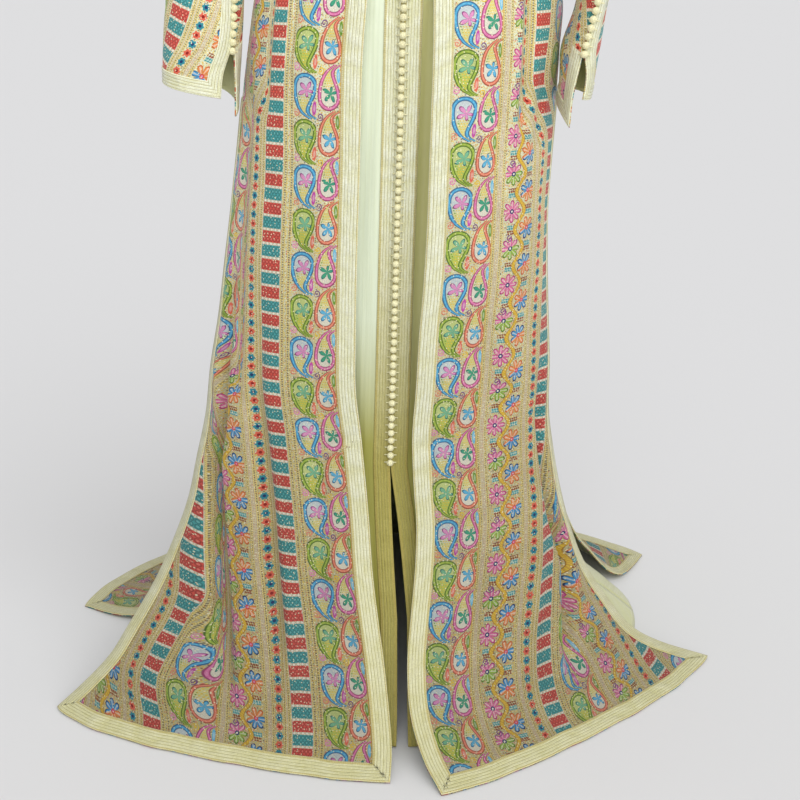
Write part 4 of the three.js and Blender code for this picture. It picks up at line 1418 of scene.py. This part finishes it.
def sleeveForm(plan, own):
    rows, heights = [armholeRing(plan, own["side"])], [plan["firstRow"]]
    share = np.linspace(0, 1, plan["stations"] + 1)
    for i, ring in enumerate(own["rings"]):
        opened = own["gap"] * smooth((own["slitTop"] + plan["start"] - ring["height"]) / plan["ease"])
        edge = opened / 2 + plan["shut"]
        angle = np.radians(own["slitAt"] + mix(edge, 360 - edge, share))
        low = max(0, (i + 1 - len(own["rings"]) + plan["cornerRows"]) / plan["cornerRows"])
        drop = low * mix(own["drops"][0], own["drops"][1], share) * abs(2 * share - 1) ** 1.5
        x = own["side"] * (ring["x"] - ring["across"] * np.cos(angle))
        y = -(ring["y"] + ring["deep"] * np.sin(angle))
        rows.append(np.stack([x, y, ring["height"] - ring["lean"] * np.cos(angle) - drop], -1))
        heights.append(ring["height"])
    return np.array(rows), np.array(heights)


def makeSleeves(plan, finishes):
    cloths = {}
    for name in ("left", "right"):
        own = plan[name]
        cloth = drape(sleeveForm(plan, own), {**plan, **own, "outward": -own["side"]})
        start, turn, slant = own["pattern"]
        cosine, sine = math.cos(math.radians(slant)), math.sin(math.radians(slant))
        across, along = turn * cloth["across"], cloth["up"]
        measure = np.stack([start + across * cosine + along * sine, along * cosine - across * sine], -1)
        title = name.title()
        walls = [finishes["print"], finishes["lining"]]
        piece = clothPiece("sleeve" + title, cloth["points"], measure, cloth["outward"], walls, plan["wall"])
        settle(piece, "sleeve_" + name)
        tops = (edgeDistance(plan["braidTop"], cloth, 0), edgeDistance(own["slitTop"], cloth, -1))
        braid = edgeBraid("cuffBraid" + title, cloth, plan["braid"], tops, finishes["cuffBraid"])
        settle(braid, "cuff_braid_" + name)
        hang(cloth)
        cloths[name] = cloth
    return cloths


# The belt lies over the robe's braids and crosses the gap between its fronts.
beltPlan = {
    "heights": (1078, 1022),
    "width": 57,
    "rows": 15,
    "gapSteps": 9,
    "frontColumns": 60,
    "off": 1.8,
    "wall": 2.5,
}


def makeBelt(plan, cloths, finish):
    highest, lowest = plan["heights"]
    rows = []
    for height in np.linspace(highest, lowest, plan["rows"]):
        left, right, back = (rowAt(cloths[name], height) for name in ("left", "right", "back"))
        gap = np.array([mix(left[0], right[0], t) for t in np.linspace(0, 1, plan["gapSteps"])[1:-1]])
        rows.append(np.concatenate([left[::-1], gap, right, back[-2:0:-1], left[-1:]]))
    ring = np.array(rows)
    outside = ring + outwardOf(ring, -1) * (plan["off"] + plan["wall"])
    outside[:, 0] = outside[:, -1] = (outside[:, 0] + outside[:, -1]) / 2
    around = lengthsAlong(outside, 1).mean(axis=0)
    down = np.linspace(0, highest - lowest, plan["rows"])[:, None]
    measure = np.stack(np.broadcast_arrays(down, around[None, :]), -1)
    towards = outside[:, : plan["frontColumns"]].mean(axis=(0, 1)) * (0, 1, 0)
    piece = clothPiece("waistBelt", outside, measure, -1, [finish], plan["wall"], towards)
    settle(piece, "belt")


# Knotted buttons side by side, each with a pair of cord loops.
buttonPlan = {
    "pitch": 10.9,
    "radius": 5,
    "depth": 0.9,
    "lump": 0.04,
    "wander": 0.35,
    "lift": 6.8,
    "cuffLift": 5.3,
    "loopReach": 8.5,
    "loopRadius": 0.9,
    "loopDrop": 3.6,
    "loopSag": 1.2,
    "top": 1328,
}


# The middle of an opening, a little outside its cloth, down from one height to another.
def buttonLine(first, last, column, lift, highest, lowest):
    line = []
    for height in np.linspace(highest, lowest, 160):
        ends = [rowAt(first, height)[0], rowAt(last, height)[column]]
        place = np.interp(-height, -first["heights"], np.arange(len(first["heights"])))
        line.append(np.mean(ends, axis=0) + first["normals"][int(place), 0] * (0, 1, 1) * lift)
    return np.array(line)


def makeButtons(name, node, line, towards, finish, plan):
    steps = np.concatenate([[0], np.cumsum(np.linalg.norm(np.diff(line, axis=0), axis=1))])
    count = round(steps[-1] / plan["pitch"])
    form = bmesh.new()
    for i in range(count):
        at = (i + 0.5) / count * steps[-1]
        centre, below = ([np.interp(at + on, steps, line[:, k]) for k in range(3)] for on in (0, 2))
        down = unit(np.subtract(below, centre) + (0, 0, -1e-6))
        sideways = unit(np.cross(down, towards))
        ahead = np.cross(sideways, down)
        off = plan["wander"] * math.sin(i * 2.4)
        for vert in bmesh.ops.create_icosphere(form, subdivisions=2, radius=1)["verts"]:
            x, y, z = vert.co
            size = plan["radius"] * (1 + plan["lump"] * math.sin(7 * x + 5 * z + i))
            place = centre + off * sideways + size * (x * sideways + y * ahead * plan["depth"] + z * down)
            vert.co = (place - (0, 0, neckHeight)) / 1000
        for end in (-1, 1):
            made = bmesh.ops.create_cone(form, segments=5, radius1=1, radius2=1, depth=1, cap_ends=True)
            for vert in made["verts"]:
                x, y, z = vert.co
                reach = plan["loopReach"] * (z + 0.5)
                sag = plan["loopSag"] * math.sin(math.pi * (z + 0.5))
                place = centre + end * reach * sideways + plan["loopRadius"] * (x * down + y * ahead)
                place = place - ahead * plan["loopDrop"] + sag * down
                vert.co = (place - (0, 0, neckHeight)) / 1000
    bmesh.ops.recalc_face_normals(form, faces=form.faces)
    mesh = meshOf(name, form)
    mesh.polygons.foreach_set("use_smooth", [True] * len(mesh.polygons))
    settle(placed(name, mesh, [finish]), node)


finishes = {
    "print": printedCloth(),
    "lining": satinFinish("liningSatin", (0.82, 0.82, 0.62), (0.74, 0.74, 0.52), 0.5),
    "satin": satinFinish("dressSatin", (0.94, 0.98, 0.88), (0.91, 0.94, 0.77), 0.36, satinShades),
    "braid": braidFinish("wideBraid", 6, 26, outerHemShade, (1.3, 23.2, 24.9)),
    "cuffBraid": braidFinish("cuffBraid", 5, 20, outerHemShade),
    "placket": braidFinish("placketBraid", 6, 24, placketLowShade, (1.2, 2.8, 21.4, 23)),
    "belt": braidFinish("beltBraid", 16, 56, outerHemShade, (2, 4, 52, 54)),
    "buttons": cordFinish("knottedCord"),
}
makeStudio(studio)
print("takchita: studio and finishes made")
robeCloths = makeRobe(robePlan, finishes)
print("takchita: robe made")
dressCloths = makeDress(dressPlan, finishes)
print("takchita: under-dress made")
sleeveCloths = makeSleeves(sleevePlan, finishes)
makeBelt(beltPlan, robeCloths, finishes["belt"])
print("takchita: sleeves and belt made")

ends = (buttonPlan["top"], garment["dressSlit"])
frontLine = buttonLine(dressCloths["left"], dressCloths["right"], 0, buttonPlan["lift"], *ends)
makeButtons("frontButtons", "buttons_front", frontLine, (0, -1, 0), finishes["buttons"], buttonPlan)
for name, cloth in sleeveCloths.items():
    own = sleevePlan[name]
    highest, under = sleevePlan["buttons"]
    cuffLine = buttonLine(cloth, cloth, -1, buttonPlan["cuffLift"], highest, own["slitTop"] - under)
    towards = (own["side"] * -0.3, -1, 0)
    node = f"buttons_{name}_sleeve"
    makeButtons(name + "SleeveButtons", node, cuffLine, towards, finishes["buttons"], buttonPlan)
print("takchita: buttons made")
